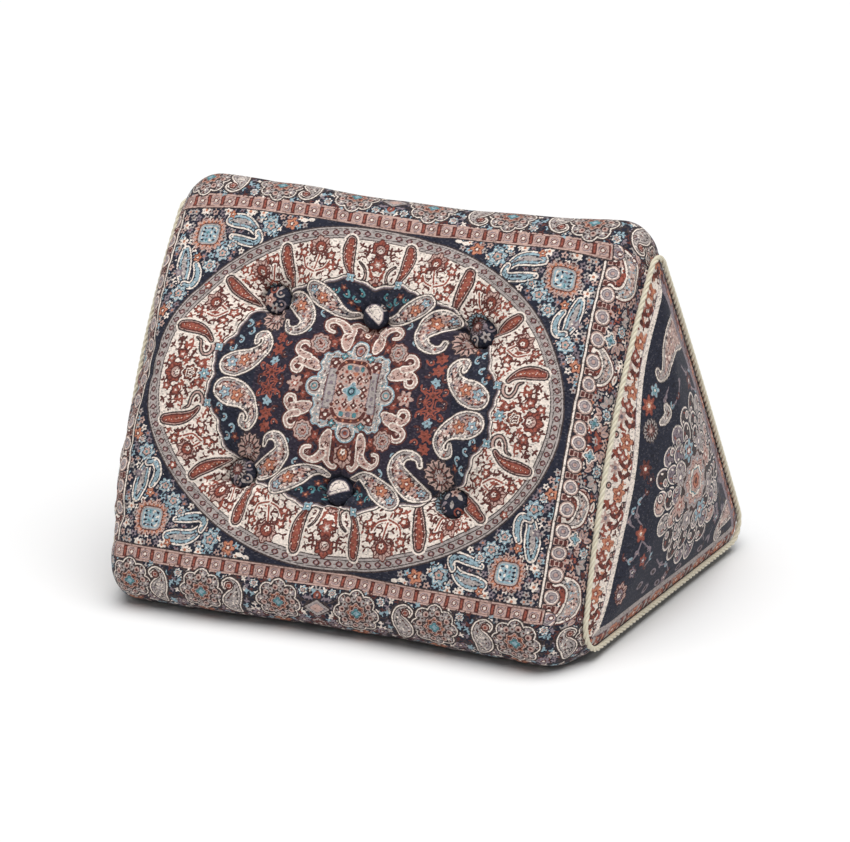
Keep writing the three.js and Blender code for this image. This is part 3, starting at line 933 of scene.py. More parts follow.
def draw_side_border(chart):
    """The upright border beside each end seam."""
    petal = ("pale", "rose", "cream", "mauve", "rose", "red", "pale", "orange", "cream", "rose", "maroon")
    eye = ("maroon", "navy", "red")

    def small_flower(u, v, turn, pick):
        chart.draw(floret, u, v, 4.1, turn, petal=petal[pick % 11], eye=eye[pick % 3], count=4 + pick % 2)

    chart.lay(SIDE_LINE - chart.u, "navy", 0)
    scatter((SIDE_LINE + 15, -4), (284, 190), 7.0, small_flower, 11)
    column = np.abs(chart.u - SIDE_LINE - 8.5)
    v = (chart.v - SIDE_FIRST + SIDE_STEP / 2) % SIDE_STEP - SIDE_STEP / 2
    gap = SIDE_STEP / 2 - np.abs(v)
    for yarn, half, reach in SIDE_BARS:
        chart.lay(np.maximum(column - half, gap - reach), yarn, 0)
    for number, v in enumerate(np.arange(SIDE_FIRST + 5, GUARD[1], 27.0)):
        fill, heart = (("rose", "mauve"), ("pale", "rose"), ("cream", "red"))[number % 3]
        chart.draw(pale_spray, SIDE_LINE + 33, v, 10, 60 + 80 * number, yarn=fill, heart=heart)
        chart.draw(pale_spray, SIDE_LINE + 25, v + 13, 8, 200 - 70 * number, yarn="rose", heart="maroon")
    for v, scale in ((69, 1.0), (157, 1.25)):
        path = placed(CRESCENT, SIDE_LINE, v, scale)
        chart.filled([path], SIDE_PAISLEY, 1.8, 3.0, ("ink", "cream", "sky", "maroon", "cream"), 2.2, 60)
        chart.draw(mark, SIDE_LINE + 15 * scale, v - 3 * scale, 10 * scale, 60, yarn="red")
    bands = ("ink", "rose", "cream", "mauve", "pale", "mauve", "rose")
    for v in np.arange(SIDE_FIRST, GUARD[1], SIDE_STEP):
        chart.draw(roundel, SIDE_LINE + 9, v, 8.4, bands=bands)
    for v in (16, 96):
        chart.draw(teal_star, SIDE_LINE + 22, v, 6)
        chart.draw(blue_flower, SIDE_LINE + 34, v + 12, 6)
    chart.lay(np.abs(chart.u - SIDE_LINE) - 0.9, "ink", -1.2, "cream", 0)


def draw_guards(chart):
    """The stripes of square rosettes above and below the spandrels."""
    low, high = GUARD
    stripe = np.maximum(np.maximum(low - chart.v, chart.v - high), chart.u - (SIDE_LINE + 4))
    chart.lay(stripe, "ink", -2.4, "rose", -1.2, "maroon", 0.4)
    u = (chart.u + GUARD_STEP / 2) % GUARD_STEP - GUARD_STEP / 2
    v = chart.v - (low + high) / 2
    square = np.maximum(np.abs(u) - GUARD_STEP * 0.36, np.abs(v) - 5)
    bar = np.maximum(np.abs(np.abs(u) - GUARD_STEP / 2) - 0.9, np.abs(v) - 4)
    chart.paint([
        ("red", np.maximum(bar, stripe)),
        ("rose", np.maximum(square, stripe)),
        ("mauve", ring(disc(u, v, 3.9), 0.9)),
        ("maroon", ring(disc(u, v, 2.2), 0.9)),
        ("cream", disc(u, v, 1.3)),
    ])


def draw_bands(chart):
    """The outer bands of large rosettes and paisleys, which run over the ridge and the lower edge."""
    low = GUARD[1] + 1.6
    middle = low + BAND_FLOWERS
    end = GUARD[1] + BAND_WIDTH
    yarns = ("pale", "ink", "mauve", "maroon", "ink", "cream", "ink", "maroon", "sky")

    def small_sprig(u, v, turn, pick):
        chart.draw(sprig, u, v, 3.9, turn, yarn=yarns[pick % 9], kind=pick % 3)

    chart.lay(low - chart.v, "navy", 0)
    scatter((-4, low + 2), (284, end), 5.4, small_sprig, 7)
    for k in range(4):
        u = (k + 0.5) * BAND_STEP
        for beside in (-24, 24):
            chart.draw(petal_flower, u + beside, middle + 20, 6.5, 20 * k, petal="mauve", eye="maroon")
        chart.draw(petal_flower, u, low + 4, 8, 90)
        chart.draw(petal_flower, u, middle + 27, 9, eye="maroon", count=6)
        chart.draw(large_rosette, u, middle, 24)
        u = k * BAND_STEP
        for beside in (-15, 15):
            chart.draw(blue_flower, u + beside, low + 5, 5)
        if k == 0:
            for turn in (60, 120):
                chart.draw(curl, u, middle - 13, 6, turn)
            chart.draw(lozenge, u, middle, 13)
            chart.draw(palmette, u, middle + 22, 11, -90, fill="pale", heart="maroon")
            continue
        marks = ("cream", "ink", "mauve", "cream", "maroon")
        chart.filled([placed(BAND_PATH, u, middle)], BAND_PAISLEY, 1.4, 3.2, marks, 2.1, 50 + k)
        chart.draw(curl_spot, u + 11, middle - 10.5, 4.2)
    chart.lay(end - chart.v, "navy", 0)
    chart.lay(np.abs(chart.v - end) - 1.2, "rose", 0)


def draw_front(chart):
    draw_spandrels(chart)
    draw_ring(chart)
    draw_field(chart)
    draw_medallion(chart)
    draw_side_border(chart)
    draw_guards(chart)
    draw_bands(chart)


# The design of the end panels, in millimetres: u runs from the front to the back and v is the height.
PANEL_STRIPS = {"front": 20.6, "back": 17.0, "base": 14.0}
PANEL_LINE = 6.4
PANEL_BOW = (13.0, 268.0, 75.0)  # how far the front strip's line bows, where and over what length
# The ground yarn of each edge's strip. The front strip's cream is the cloth's own. The darker mauve and pale
# grounds of the back and base strips are painted shade on those edges.
STRIP_GROUND_WITH_PAINTED_SHADE = {"front": "cream", "back": "mauve", "base": "pale"}
STRIP_STEP = 47.0
STRIP_MIDDLE = 3.5
# Motif, place along and across, size, turn and colours
STRIP_MOTIFS = [
    (petal_flower, 0, 1, 8.4, 0, {}),
    (bud, 5, -13, 3.4, 0, {}),
    (bud, -8, 13, 3.2, 0, {}),
    (wings, -9, -10, 7, 150, {"yarn": "red"}),
    (wings, 13, 2, 11, 0, {}),
    (wings, 12, -10, 7, -60, {"yarn": "red"}),
    (bud, 17, 13, 3.6, 0, {}),
    (floret, 22, -9, 7, 20, {"petal": "rose", "eye": "mauve", "count": 6}),
    (wings, 24, 6, 11, 30, {}),
    (wings, 29, 14, 7, 100, {"yarn": "red"}),
    (petal_flower, 33, -2, 6.0, 0, {"petal": "red", "eye": "rose", "count": 4}),
    (bud, 38, 10, 3.2, 0, {}),
    (wings, 36, -12, 7, 200, {}),
]
PANEL_MEDALLION = (30.0, 122.0)
MEDALLION_RINGS = [(68, 19, 11.5), (53, 15, 10.5), (40, 11, 9.5)]  # reach, and number and size of lobes
LOBE_BODIES = ("pale", "ink", "mauve", "ink", "rose", "mauve", "ink")
PANEL_PAISLEYS = [
    [(42, 258, 9), (30, 266, 16), (14, 271, 18), (0, 262, 12.5), (-8, 250, 8), (-14, 241, 6), (-22, 239, 4.6),
     (-25, 245, 3.4)],
    [(166, 46, 5), (152, 51, 9), (134, 54, 11.5), (117, 51, 9), (108, 43, 6), (112, 35, 4.4), (119, 36, 3)],
    [(-20, 209, 4.2), (-18, 203, 5.4), (-24, 199, 5), (-31, 198, 3)],
]
PANEL_VINES = [
    [(-74, 96), (-83, 86), (-94, 82), (-102, 88)],
    [(-74, 96), (-62, 84), (-56, 74), (-66, 68)],
    [(-72, 110), (-80, 122), (-74, 134), (-62, 140)],
    [(-84, 112), (-92, 120), (-84, 128)],
    [(-12, 226), (-20, 216), (-10, 208), (2, 214), (8, 226)],
    [(22, 236), (34, 226), (50, 224), (62, 212)],
    [(40, 222), (46, 208), (62, 200), (78, 196)],
    [(-40, 66), (-28, 56), (-14, 52), (-4, 42)],
    [(104, 84), (118, 92), (132, 84), (142, 72)],
    [(108, 130), (112, 116), (124, 106)],
]
PANEL_FLOWERS = [
    (-45, 218, 10, "red", "orange"), (-33, 229, 7, "sky", "teal"), (-75, 103, 8.5, "red", "orange"),
    (-62, 162, 9, "maroon", "red"), (-55, 150, 6, "plum", "maroon"), (-72, 76, 6.5, "red", "mauve"),
    (40, 216, 8, "maroon", "mauve"), (68, 206, 7, "mauve", "navy"), (-90, 70, 6, "mauve", "navy"),
    (96, 62, 7, "mauve", "teal"), (120, 100, 7, "maroon", "rose"), (-10, 36, 6.5, "mauve", "maroon"),
]
PANEL_LEAVES = [(-68, 49, 10), (-42, 54, -15), (-52, 40, 20), (22, 36, 5), (70, 38, 170), (-24, 36, 160)]


def panel_edges():
    """The straight lines of the seam's triangle: a start, a way along, a length and the strip's width."""
    front, ridge, back = (np.array(corner["seam"][:2]) for corner in CORNERS.values())
    ends = {"front": (front, ridge), "back": (ridge, back), "base": (back, front)}
    return {
        name: (a, unit(b - a), np.linalg.norm(b - a), PANEL_STRIPS[name])
        for name, (a, b) in ends.items()
    }


def strip_bow(edge, place):
    """How far a strip's inner line bows outward at a place along its edge."""
    height, middle, reach = PANEL_BOW
    return height * np.exp(-(((place - middle) / reach) ** 2)) * (edge == "front")


def draw_strip(chart, edge, start, way, length):
    """The flowers of one edge's strip, in repeats along it."""
    inward = np.array([way[1], -way[0]])
    turn = math.degrees(math.atan2(way[1], way[0]))

    def strip_place(along, across):
        return start + way * along + inward * (STRIP_MIDDLE + across - strip_bow(edge, along) / 2)

    for number, along in enumerate(np.arange(3, length, 4.6)):
        u, v = strip_place(along, (-8, 9, 1, -3, 12, 5)[number % 6])
        yarn = ("red", "maroon", "orange")[number % 3]
        chart.draw(sprig, u, v, 5, 77 * number, yarn=yarn, kind=number % 3)
    for repeat in np.arange(STRIP_STEP * 0.3, length, STRIP_STEP):
        for motif, along, across, size, spin, options in STRIP_MOTIFS:
            u, v = strip_place(repeat + along, across)
            chart.draw(motif, u, v, size, turn + spin, **options)


def draw_strips(chart):
    """Strips of flowers along the three edges; returns the depth inside their inner line."""
    edges = panel_edges()
    inside = []
    for edge, (start, way, length, width) in edges.items():
        depth = (chart.u - start[0]) * way[1] - (chart.v - start[1]) * way[0]
        place = (chart.u - start[0]) * way[0] + (chart.v - start[1]) * way[1]
        inside.append(depth - width + strip_bow(edge, place))
    nearest = np.argmin(inside, axis=0)
    # The strips' grounds: the back and base strips are darker than the front strip, as painted shade.
    for number, edge in enumerate(edges):
        chart.lay(np.where(nearest == number, -9, 9), STRIP_GROUND_WITH_PAINTED_SHADE[edge], 0)
    for edge, (start, way, length, width) in edges.items():
        draw_strip(chart, edge, start, way, length)
    depth = np.minimum.reduce(inside)
    # The same grounds again inside the inner line, with painted shade on the back and base strips.
    for number, edge in enumerate(edges):
        chart.lay(np.where(nearest == number, PANEL_LINE / -2 - depth, 9), STRIP_GROUND_WITH_PAINTED_SHADE[edge], 0)
    chart.paint([("mauve", ring(depth + PANEL_LINE / 2, 0.9))])
    return depth


def draw_panel_field(chart):
    """The paisleys, vines and flowers of the end panel's dark middle."""

    def faint_sprig(u, v, turn, pick):
        chart.draw(sprig, u, v, 10, turn, yarn=("ink", "mauve", "plum")[pick % 3], kind=pick % 3)

    scatter((62, 34), (190, 210), 17, faint_sprig, 17)
    for vine in PANEL_VINES:
        chart.line(vine, 0.9, "mauve", 0)
        for number, (u, v) in enumerate(vine[1:]):
            chart.draw(curl, u, v, 5, 70 * number + u, yarn=("mauve", "sky", "maroon")[number % 3])
    for u, v, size, petal, eye in PANEL_FLOWERS:
        chart.draw(petal_flower, u, v, size, 20 * u, petal=petal, eye=eye, count=5 if size < 9 else 7)
    chart.draw(chrysanthemum, -48, 195, 11, 20, light="pale")
    chart.draw(palmette, -112, 54, 15, 20, heart="mauve", lobes=9)
    for u, v, turn in PANEL_LEAVES:
        chart.draw(mark, u, v, 14, turn, yarn="mauve")
        chart.draw(mark, u, v, 8, turn, yarn="ink")
    marks = ("maroon", "cream", "ink", "pale", "mauve", "cream")
    chart.filled(PANEL_PAISLEYS, PALE_PAISLEY, 1.4, 3.6, marks, 2.3, 90)


def draw_panel_medallion(chart):
    """Rings of curled lobes and flowers about a rose flower head."""
    centre_u, centre_v = PANEL_MEDALLION
    chart.draw(disc_spot, centre_u, centre_v, 66, yarn="navy")
    chart.draw(disc_spot, centre_u, centre_v, 56, yarn="ink")
    for reach, count, size in MEDALLION_RINGS:
        for number in range(count):
            angle = 2 * math.pi * (number + 0.5) / count
            stretch = reach * (1 + 0.05 * math.cos(4 * angle) + 0.02 * math.sin(7 * number))
            u, v = centre_u + stretch * math.cos(angle), centre_v + stretch * math.sin(angle)
            body = LOBE_BODIES[(3 * number + count) % len(LOBE_BODIES)]
            turn = math.degrees(angle) + 50 * (number % 2)
            chart.draw(scroll_lobe, u, v, size, turn, flip=number % 2 == 0, body=body)
    for number in range(8):
        angle = 2 * math.pi * (number + 0.5) / 8
        u, v = centre_u + 37 * math.cos(angle), centre_v + 37 * math.sin(angle)
        petal, eye = ("rose", "pale", "sky", "pale")[number % 4], ("red", "mauve")[number % 2]
        chart.draw(petal_flower, u, v, 12, 40 * number, petal=petal, eye=eye, count=6)
    chart.draw(medallion_heart, centre_u, centre_v, 29, 8)


# How the design lies on the front: its middle, and how far the cloth is sewn askew, stretched and bowed
PATTERN_ALONG = -1.5
PATTERN_UP = 264.5
ASKEW = (-2, -0.027, -0.0003)  # the upright axis: its place at the middle, its slope and its bend
SIDE_STRETCH = 6.5
END_STRETCH = 4
ROW_BOW = 0.000234
BOW_GROWTH = (0.325, 0.675)
BOW_REACH = 220

# The florets of the back
BACK_STEP = 27.0
BACK_FLORET = 6.5

# What shows on each button's scrap of cloth: motif, place, size, turn and colours
BUTTON_MOTIFS = {
    "upper_left": [
        (petal_flower, -6, -2, 7, 10, {"petal": "rose"}),
        (curl, 4, 6, 8, 40, {"yarn": "pale"}),
        (curl, 7, -5, 7, 200, {"yarn": "mauve"}),
        (curl, -4, 9, 7, 100, {}),
        (floret, 1, -9, 5, 0, {"petal": "pale", "eye": "maroon"}),
    ],
    "upper_middle": [
        (half_moon, -2, -2, 10.5, -35, {}),
        (curl, 8, 7, 6, 60, {"yarn": "pale"}),
        (floret, -8, 9, 5, 0, {"petal": "mauve", "eye": "ink"}),
    ],
    "upper_right": [
        (chrysanthemum, -6, 5, 9, 20, {"light": "mauve"}),
        (floret, 5, -4, 5.4, 50, {"petal": "pale", "eye": "ink"}),
        (curl, 8, 6, 8, 120, {"yarn": "mauve"}),
        (curl, -6, -8, 7, 230, {"yarn": "pale"}),
    ],
    "lower_left": [
        (chrysanthemum, -4, 2, 10, 30, {"light": "pale"}),
        (curl, 7, 7, 8, 20, {"yarn": "mauve"}),
        (curl, 8, -5, 7, 160, {"yarn": "pale"}),
        (curl, -2, -10, 7, 60, {"yarn": "mauve"}),
    ],
    "lower_middle": [
        (half_moon, 1, -1, 10, 22, {}),
        (curl, -10, -7, 6, 10, {"yarn": "mauve"}),
    ],
    "lower_right": [
        (mark, -7, 5, 8, 60, {"yarn": "pale"}),
        (mark, 0, -2, 8, 100, {"yarn": "pale"}),
        (mark, 6, 6, 8, 140, {"yarn": "pale"}),
        (curl, 7, -8, 7, 300, {}),
        (curl, -8, -6, 7, 30, {"yarn": "mauve"}),
        (floret, 0, 10, 5, 30, {"petal": "rose", "eye": "maroon"}),
    ],
}


def pattern_place(along, up):
    """Where a point of the cloth lies in the design."""
    v = up - PATTERN_UP
    start, slope, bend = ASKEW
    u = along - PATTERN_ALONG - (start + slope * v + bend * v**2)
    u = u - SIDE_STRETCH * (u / OVAL[0]) ** 2
    rise, fall = BOW_GROWTH
    share = np.clip(1 + rise * v / GUARD[0] - fall * (v / GUARD[0]) ** 2, 0, 1)
    bow = ROW_BOW * np.minimum(u**2, BOW_REACH**2) * share
    return u, v + bow + END_STRETCH * np.minimum(1, (v / OVAL[1]) ** 2)


def plain_weave(count):
    """The bare ground of the cloth."""
    amounts = np.zeros((count, len(YARNS)))
    amounts[:, YARN["navy"]] = 1
    return amounts


def weave_front(along, up):
    """Amounts of each yarn at every point of the front's cloth."""
    u, v = (place.ravel() for place in pattern_place(along, up))
    amounts = plain_weave(u.size)
    draw_front(Chart(amounts, np.abs(u), np.abs(v)))
    return amounts


def weave_back(along, up):
    """Small dark florets in even rows on the plain back."""
    amounts = plain_weave(along.size)
    chart = Chart(amounts, along.ravel(), up.ravel())
    low, high = (along.min(), up.min() + BACK_STEP / 2), (along.max(), up.max())
    for u, v in staggered(low, high, BACK_STEP):
        chart.draw(floret, u, v, BACK_FLORET, petal="ink", eye="mauve", count=4)
    return amounts


def weave_button(motifs, x, y):
    """Amounts of each yarn on a button's scrap of cloth."""
    amounts = plain_weave(x.size)
    chart = Chart(amounts, x.ravel(), y.ravel())
    for motif, u, v, size, turn, options in motifs:
        chart.draw(motif, u, v, size, turn, **options)
    return amounts


def weave_panel(y, z):
    """Amounts of each yarn at every point of an end panel: a dark field inside its strips."""
    strips, field = plain_weave(y.size), plain_weave(y.size)
    depth = draw_strips(Chart(strips, y, z))
    chart = Chart(field, y, z)
    draw_panel_field(chart)
    draw_panel_medallion(chart)
    return mix(strips, field, cover(PANEL_LINE / 2 - depth)[:, None])


# The camera
CAMERA = {
    "azimuth": 28.02,
    "elevation": 19.0,
    "roll": -1.7,
    "distance": 4.77075,
    "target": (0.003, 0.0033, 0.15425),
    "lens": 211.8,
    "sensor": 36.0,
}


def add_object(name, data):
    made = bpy.data.objects.new(name, data)
    bpy.context.scene.collection.objects.link(made)
    return made


def place_camera():
    azimuth, elevation, roll = (math.radians(CAMERA[name]) for name in ("azimuth", "elevation", "roll"))
    back = Vector((
        math.sin(azimuth) * math.cos(elevation),
        -math.cos(azimuth) * math.cos(elevation),
        math.sin(elevation),
    ))
    level = Vector((math.cos(azimuth), math.sin(azimuth), 0))
    upright = back.cross(level)
    right = math.cos(roll) * level + math.sin(roll) * upright
    up = math.cos(roll) * upright - math.sin(roll) * level
    data = bpy.data.cameras.new("camera")
    data.lens = CAMERA["lens"]
    data.sensor_width = CAMERA["sensor"]
    camera = add_object("camera", data)
    turn = Matrix((right, up, back)).transposed().to_4x4()
    camera.matrix_world = Matrix.Translation(Vector(CAMERA["target"]) + CAMERA["distance"] * back) @ turn
    bpy.context.scene.camera = camera


# The materials: the weave's sizes in millimetres, and how much each thing changes its tone
THREAD = 0.62
THREAD_JITTER = 0.3  # how far chance moves the line between two yarns
THREAD_CONTRAST = 0.22
PICK = (1.9, 1.2, 1.0)  # the visible stitches of the weave
PICK_CONTRAST = 0.4
FLECK_CHANCE = 0.11
DARK_FLECK = 0.24
LIGHT_FLECK = 0.07
BLOTCH_CONTRAST = 0.2
CLOTH_TONE = 0.77
TWILL_STEP = 1.9
TWILL_SHARE = 0.3
CORD_DARK = (192, 183, 157)
CORD_LIGHT = (246, 239, 219)
FIBRE_SHARE = 0.7


def linear(colour):
    """An sRGB colour of 0 to 255 as linear light."""
    shares = (c / 255 for c in colour)
    return (*(c / 12.92 if c <= 0.04045 else ((c + 0.055) / 1.055) ** 2.4 for c in shares), 1.0)


class Shader:
    """Adds nodes to one material and joins them up."""

    def __init__(self, name):
        self.material = bpy.data.materials.new(name)
        self.material.use_nodes = True
        self.tree = self.material.node_tree
        self.surface = self.tree.nodes["Principled BSDF"]

    def put(self, socket, value):
        if isinstance(value, bpy.types.NodeSocket):
            self.tree.links.new(value, socket)
        else:
            socket.default_value = value

    def add(self, kind, *inputs, out=0, **settings):
        """A node with its first inputs by place, others by their names, and its settings in small letters."""
        node = self.tree.nodes.new("ShaderNode" + kind)
        for key, value in settings.items():
            if key.islower():
                setattr(node, key, value)
        for socket, value in zip([i for i in node.inputs if i.enabled], inputs):
            self.put(socket, value)
        for key, value in settings.items():
            if not key.islower():
                self.put(node.inputs[key], value)
        return node.outputs[out]

    def math(self, operation, a, b=0.0):
        return self.add("Math", a, b, operation=operation)

    def plus(self, a, b):
        return self.math("ADD", a, b)

    def times(self, a, b):
        return self.math("MULTIPLY", a, b)

    def attribute(self, name):
        return self.add("Attribute", out=1, attribute_name=name)

    def split(self, vector):
        return self.add("SeparateXYZ", vector).node.outputs

    def cells(self, place, size):
        """The corner of the cell of a size that each place lies in."""
        share = self.add("VectorMath", place, size, operation="DIVIDE")
        return self.add("VectorMath", share, operation="FLOOR")

    def chance(self, cell, out):
        """White noise, one value for each cell: a number (out 0) or a colour (out 1)."""
        return self.add("TexWhiteNoise", cell, out=out, noise_dimensions="3D")

    def set(self, **values):
        for name, value in values.items():
            self.put(self.surface.inputs[name.replace("_", " ")], value)


def weave_pick(shader, cloth):
    """The yarn with the largest amount at each point, with edges stepped by the threads."""
    chances = shader.split(shader.chance(shader.cells(cloth, (THREAD, THREAD, 1)), 1))
    colours = [linear(colour) for colour in YARNS.values()]
    best, colour = None, None
    for group in range(0, len(colours), 3):
        amounts = shader.split(shader.attribute(f"yarns_{group // 3}"))
        for i in range(3):
            amount = shader.plus(amounts[i], shader.times(chances[(group + i) % 3], THREAD_JITTER))
            if best is None:
                best, colour = amount, colours[0]
                continue
            more = shader.math("GREATER_THAN", amount, best)
            colour = shader.add("MixRGB", more, colour, colours[group + i])
            best = shader.math("MAXIMUM", amount, best)
    return colour, chances[1]


def woven_cloth(name):
    """Patterned jacquard cloth: yarn colours by the pattern, a fine twill and a soft sheen."""
    shader = Shader(name)
    cloth = shader.attribute("cloth")
    colour, chance = weave_pick(shader, cloth)
    blotch = shader.add("TexNoise", Vector=cloth, Scale=0.05, Detail=3.0)
    tone = shader.plus(shader.times(chance, THREAD_CONTRAST), shader.times(blotch, BLOTCH_CONTRAST))
    picks = shader.chance(shader.cells(cloth, PICK), 0)
    tone = shader.plus(tone, shader.times(picks, PICK_CONTRAST))
    tone = shader.plus(tone, CLOTH_TONE - PICK_CONTRAST / 2)
    dark = shader.math("LESS_THAN", picks, FLECK_CHANCE)
    tone = shader.math("SUBTRACT", tone, shader.times(dark, DARK_FLECK))
    colour = shader.add("VectorMath", colour, operation="SCALE", Scale=tone)
    light = shader.math("GREATER_THAN", picks, 1 - FLECK_CHANCE)
    colour = shader.add("MixRGB", shader.times(light, LIGHT_FLECK), colour, linear(YARNS["pale"]))
    place = shader.split(cloth)
    twill = shader.math("SINE", shader.times(shader.plus(place[0], place[1]), 2 * math.pi / TWILL_STEP))
    grain = shader.add("TexNoise", Vector=cloth, Scale=1.1, Detail=2.0)
    height = shader.plus(shader.times(twill, TWILL_SHARE), grain)
    bump = shader.add("Bump", Strength=0.35, Distance=0.0004, Height=height)
    shader.set(Base_Color=colour, Roughness=0.82, Normal=bump)
    shader.set(Sheen_Weight=0.07, Sheen_Roughness=0.45, Specular_IOR_Level=0.2)
    return shader.material


def cord_yarn(name):
    """Cream twisted yarn with fine fibres along each strand."""
    shader = Shader(name)
    cloth = shader.attribute("cloth")
    fibre = shader.add("VectorMath", cloth, (0.25, 2.6, 1.0), operation="MULTIPLY")
    streak = shader.add("TexNoise", Vector=fibre, Scale=1.0, Detail=3.0)
    blotch = shader.add("TexNoise", Vector=cloth, Scale=0.02, Detail=2.0)
    share = shader.plus(shader.times(streak, FIBRE_SHARE), shader.times(blotch, 1 - FIBRE_SHARE))
    colour = shader.add("MixRGB", share, linear(CORD_DARK), linear(CORD_LIGHT))
    bump = shader.add("Bump", Strength=0.6, Distance=0.0003, Height=streak)
    shader.set(Base_Color=colour, Roughness=0.6, Normal=bump)
    shader.set(Sheen_Weight=0.2, Sheen_Roughness=0.4, Specular_IOR_Level=0.35)
    return shader.material


# Making meshes
MAP_MARGIN = 0.004


def footprint_shift():
    """How far along Y the solids stand from the section's own zero."""
    low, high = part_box("end_panel_left")
    rim, _, _ = seam_outline(PANEL_POINTS)
    return (low.y + high.y) / 2 / METRE - (rim[:, 0].min() + rim[:, 0].max()) / 2


FOOTPRINT_SHIFT = footprint_shift()


def grid_faces(columns, rows, around=False):
    """Quads of a grid whose vertices run column by column; around joins the last column to the first."""
    i = np.arange(columns if around else columns - 1)[:, None]
    j = np.arange(rows - 1)[None, :]
    after = (i + 1) % columns
    corners = (i * rows + j, after * rows + j, after * rows + j + 1, i * rows + j + 1)
    return np.stack([c.ravel() for c in np.broadcast_arrays(*corners)], -1)


def new_mesh(name, points, faces):
    """A mesh of points in millimetres."""
    mesh = bpy.data.meshes.new(name)
    mesh.from_pydata((points * METRE).tolist(), [], faces if isinstance(faces, list) else faces.tolist())
    return mesh


def make_piece(
    name, points, faces, material, nodes, cloth, amounts=None, normals=None, flat=None,
):
    """A piece that stands for CAD nodes; cloth and flat are its points' places in the cloth and a map."""
    mesh = new_mesh(name, points.reshape(-1, 3) + (0, FOOTPRINT_SHIFT, 0), faces)
    mesh.shade_smooth()
    if normals is not None:
        mesh.normals_split_custom_set_from_vertices(normals.reshape(-1, 3).tolist())
    store(mesh, "cloth", cloth.reshape(-1, 3))
    if amounts is not None:
        for i in range(0, amounts.shape[1], 3):
            store(mesh, f"yarns_{i // 3}", amounts[:, i : i + 3])
    if flat is not None:
        store_map(mesh, flat.reshape(-1, 2))
    mesh.materials.append(material)
    piece = add_object(name, mesh)
    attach(piece, "root")
    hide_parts(*nodes)


def store(mesh, name, values):
    """One vector at each vertex, under a name that the materials read."""
    attribute = mesh.attributes.new(name, "FLOAT_VECTOR", "POINT")
    attribute.data.foreach_set("vector", np.ascontiguousarray(values, np.float32).ravel())


def store_map(mesh, flat):
    """A UV map that spreads the flat places over the whole square, inside a thin margin."""
    low, high = flat.min(0), flat.max(0)
    square = MAP_MARGIN + (flat - low) / (high - low) * (1 - 2 * MAP_MARGIN)
    corners = np.zeros(len(mesh.loops), int)
    mesh.loops.foreach_get("vertex_index", corners)
    layer = mesh.uv_layers.new(name="OFBake")
    layer.uv.foreach_set("vector", np.ascontiguousarray(square[corners], np.float32).ravel())


def flat_place(u, v):
    """Places in the cloth as the vectors that the materials read."""
    return np.stack([u, v, np.zeros_like(u)], -1)


# The wrap: the filling that swells up beside each button, and the waves round it (number and size)
WRINKLE_SEED = 20
FULL_TURN = 6.28
SWELL_HEIGHT = 9.5
SWELL_RISE = 3.4
SWELL_REACH = 27.0
SWELL_WAVES = ((3, 0.6), (5, 0.7), (9, 0.5))
SWELL_UNEVEN = 0.12
PUCKER_HEIGHT = 1.1
PUCKER_REACH = 20.0

# The creases that run out from each button
CREASES = 8
CREASE_SPREAD = 0.3
CREASE_LENGTH = (22, 52)
CREASE_DEPTH = 3.0
LEAST_DEPTH = 0.5  # of the shallowest crease, as a share of the deepest
CREASE_BEND = 0.006
CREASE_WIDTH = (1.6, 0.075)  # at the button, and how much it widens with the distance
CREASE_FADE = 1.3
CREASE_START = 4.0
CREASE_BANKS = (0.42, 2.1)  # the height of its raised sides, and their distance in widths

VALLEY_DEPTH = 2.2
VALLEY_WIDTH = 15.0
VALLEY_EASE = 0.5
SEAM_DEPTH = 1.4
SEAM_WIDTH = 2.0
GATHER_HEIGHT = 0.5
GATHER_REACH = 16.0

# How far from a seam or the base each kind of wrinkle has its full height
GATHER_EASE = 6.0
UNEVEN_EASE = 60.0
EDGE_EASE = 40.0

# The simulation of the cloth on a coarse grid, and how much of its wrinkles is kept
SETTLE_COLUMNS = 4
SETTLE_ROWS = {"front_arc": 4, "front": 4, "ridge_arc": 4, "back": 2, "back_arc": 2, "base": 1}
SETTLE_FRAMES = 14
SETTLE_PRESSURE = 4.0
SETTLE_SLACK = 0.05
SETTLE_STIFFNESS = 0.3
SETTLE_SHARE = 0.6
SETTLE_CAP = 3.2
SETTLE_BLUR = 80  # passes that find the broad swelling, which is taken out
FINE_BLUR = 6
CALM = {"front": 1.0, "back": 0.8}  # share of the wrinkles kept in each part
ELSEWHERE_CALM = 0.35
CALM_BLUR = 60


def tuft_frame(x, rise):
    """The middle of a button's seat, the way out of the cushion and the way up the front."""
    arcs, sides = sections(np.array([x]))
    side = sides["front"]
    length = np.linalg.norm(side["run"][0])
    share = (rise - CORNERS["front"]["full"][2]) / length
    out = np.array([0, *side["out"][0]])
    up = np.array([0, *side["run"][0]]) / length
    foot = np.array([x, *(side["start"][0] + side["run"][0] * share)])
    return foot + out * seat_lift(x, share), out, up


def crease(chance, direction, dx, dy):
    """The depth of one crease that runs out from a button, at the points (dx, dy) from the button."""
    length = chance.uniform(*CREASE_LENGTH)
    depth = CREASE_DEPTH * chance.uniform(LEAST_DEPTH, 1.0)
    bend = chance.uniform(-CREASE_BEND, CREASE_BEND)
    along = dx * np.cos(direction) + dy * np.sin(direction) - SEAT_RADIUS
    across = dy * np.cos(direction) - dx * np.sin(direction) + bend * along**2
    narrow, widening = CREASE_WIDTH
    width = narrow + widening * np.maximum(along, 0)
    fade = np.clip(1 - along / length, 0, 1) ** CREASE_FADE * np.clip(along / CREASE_START, 0, 1)
    bank, beside = CREASE_BANKS
    banks = bank * np.exp(-(((np.abs(across) - beside * width) / width) ** 2))
    return depth * fade * (np.exp(-((across / width) ** 2)) - banks)


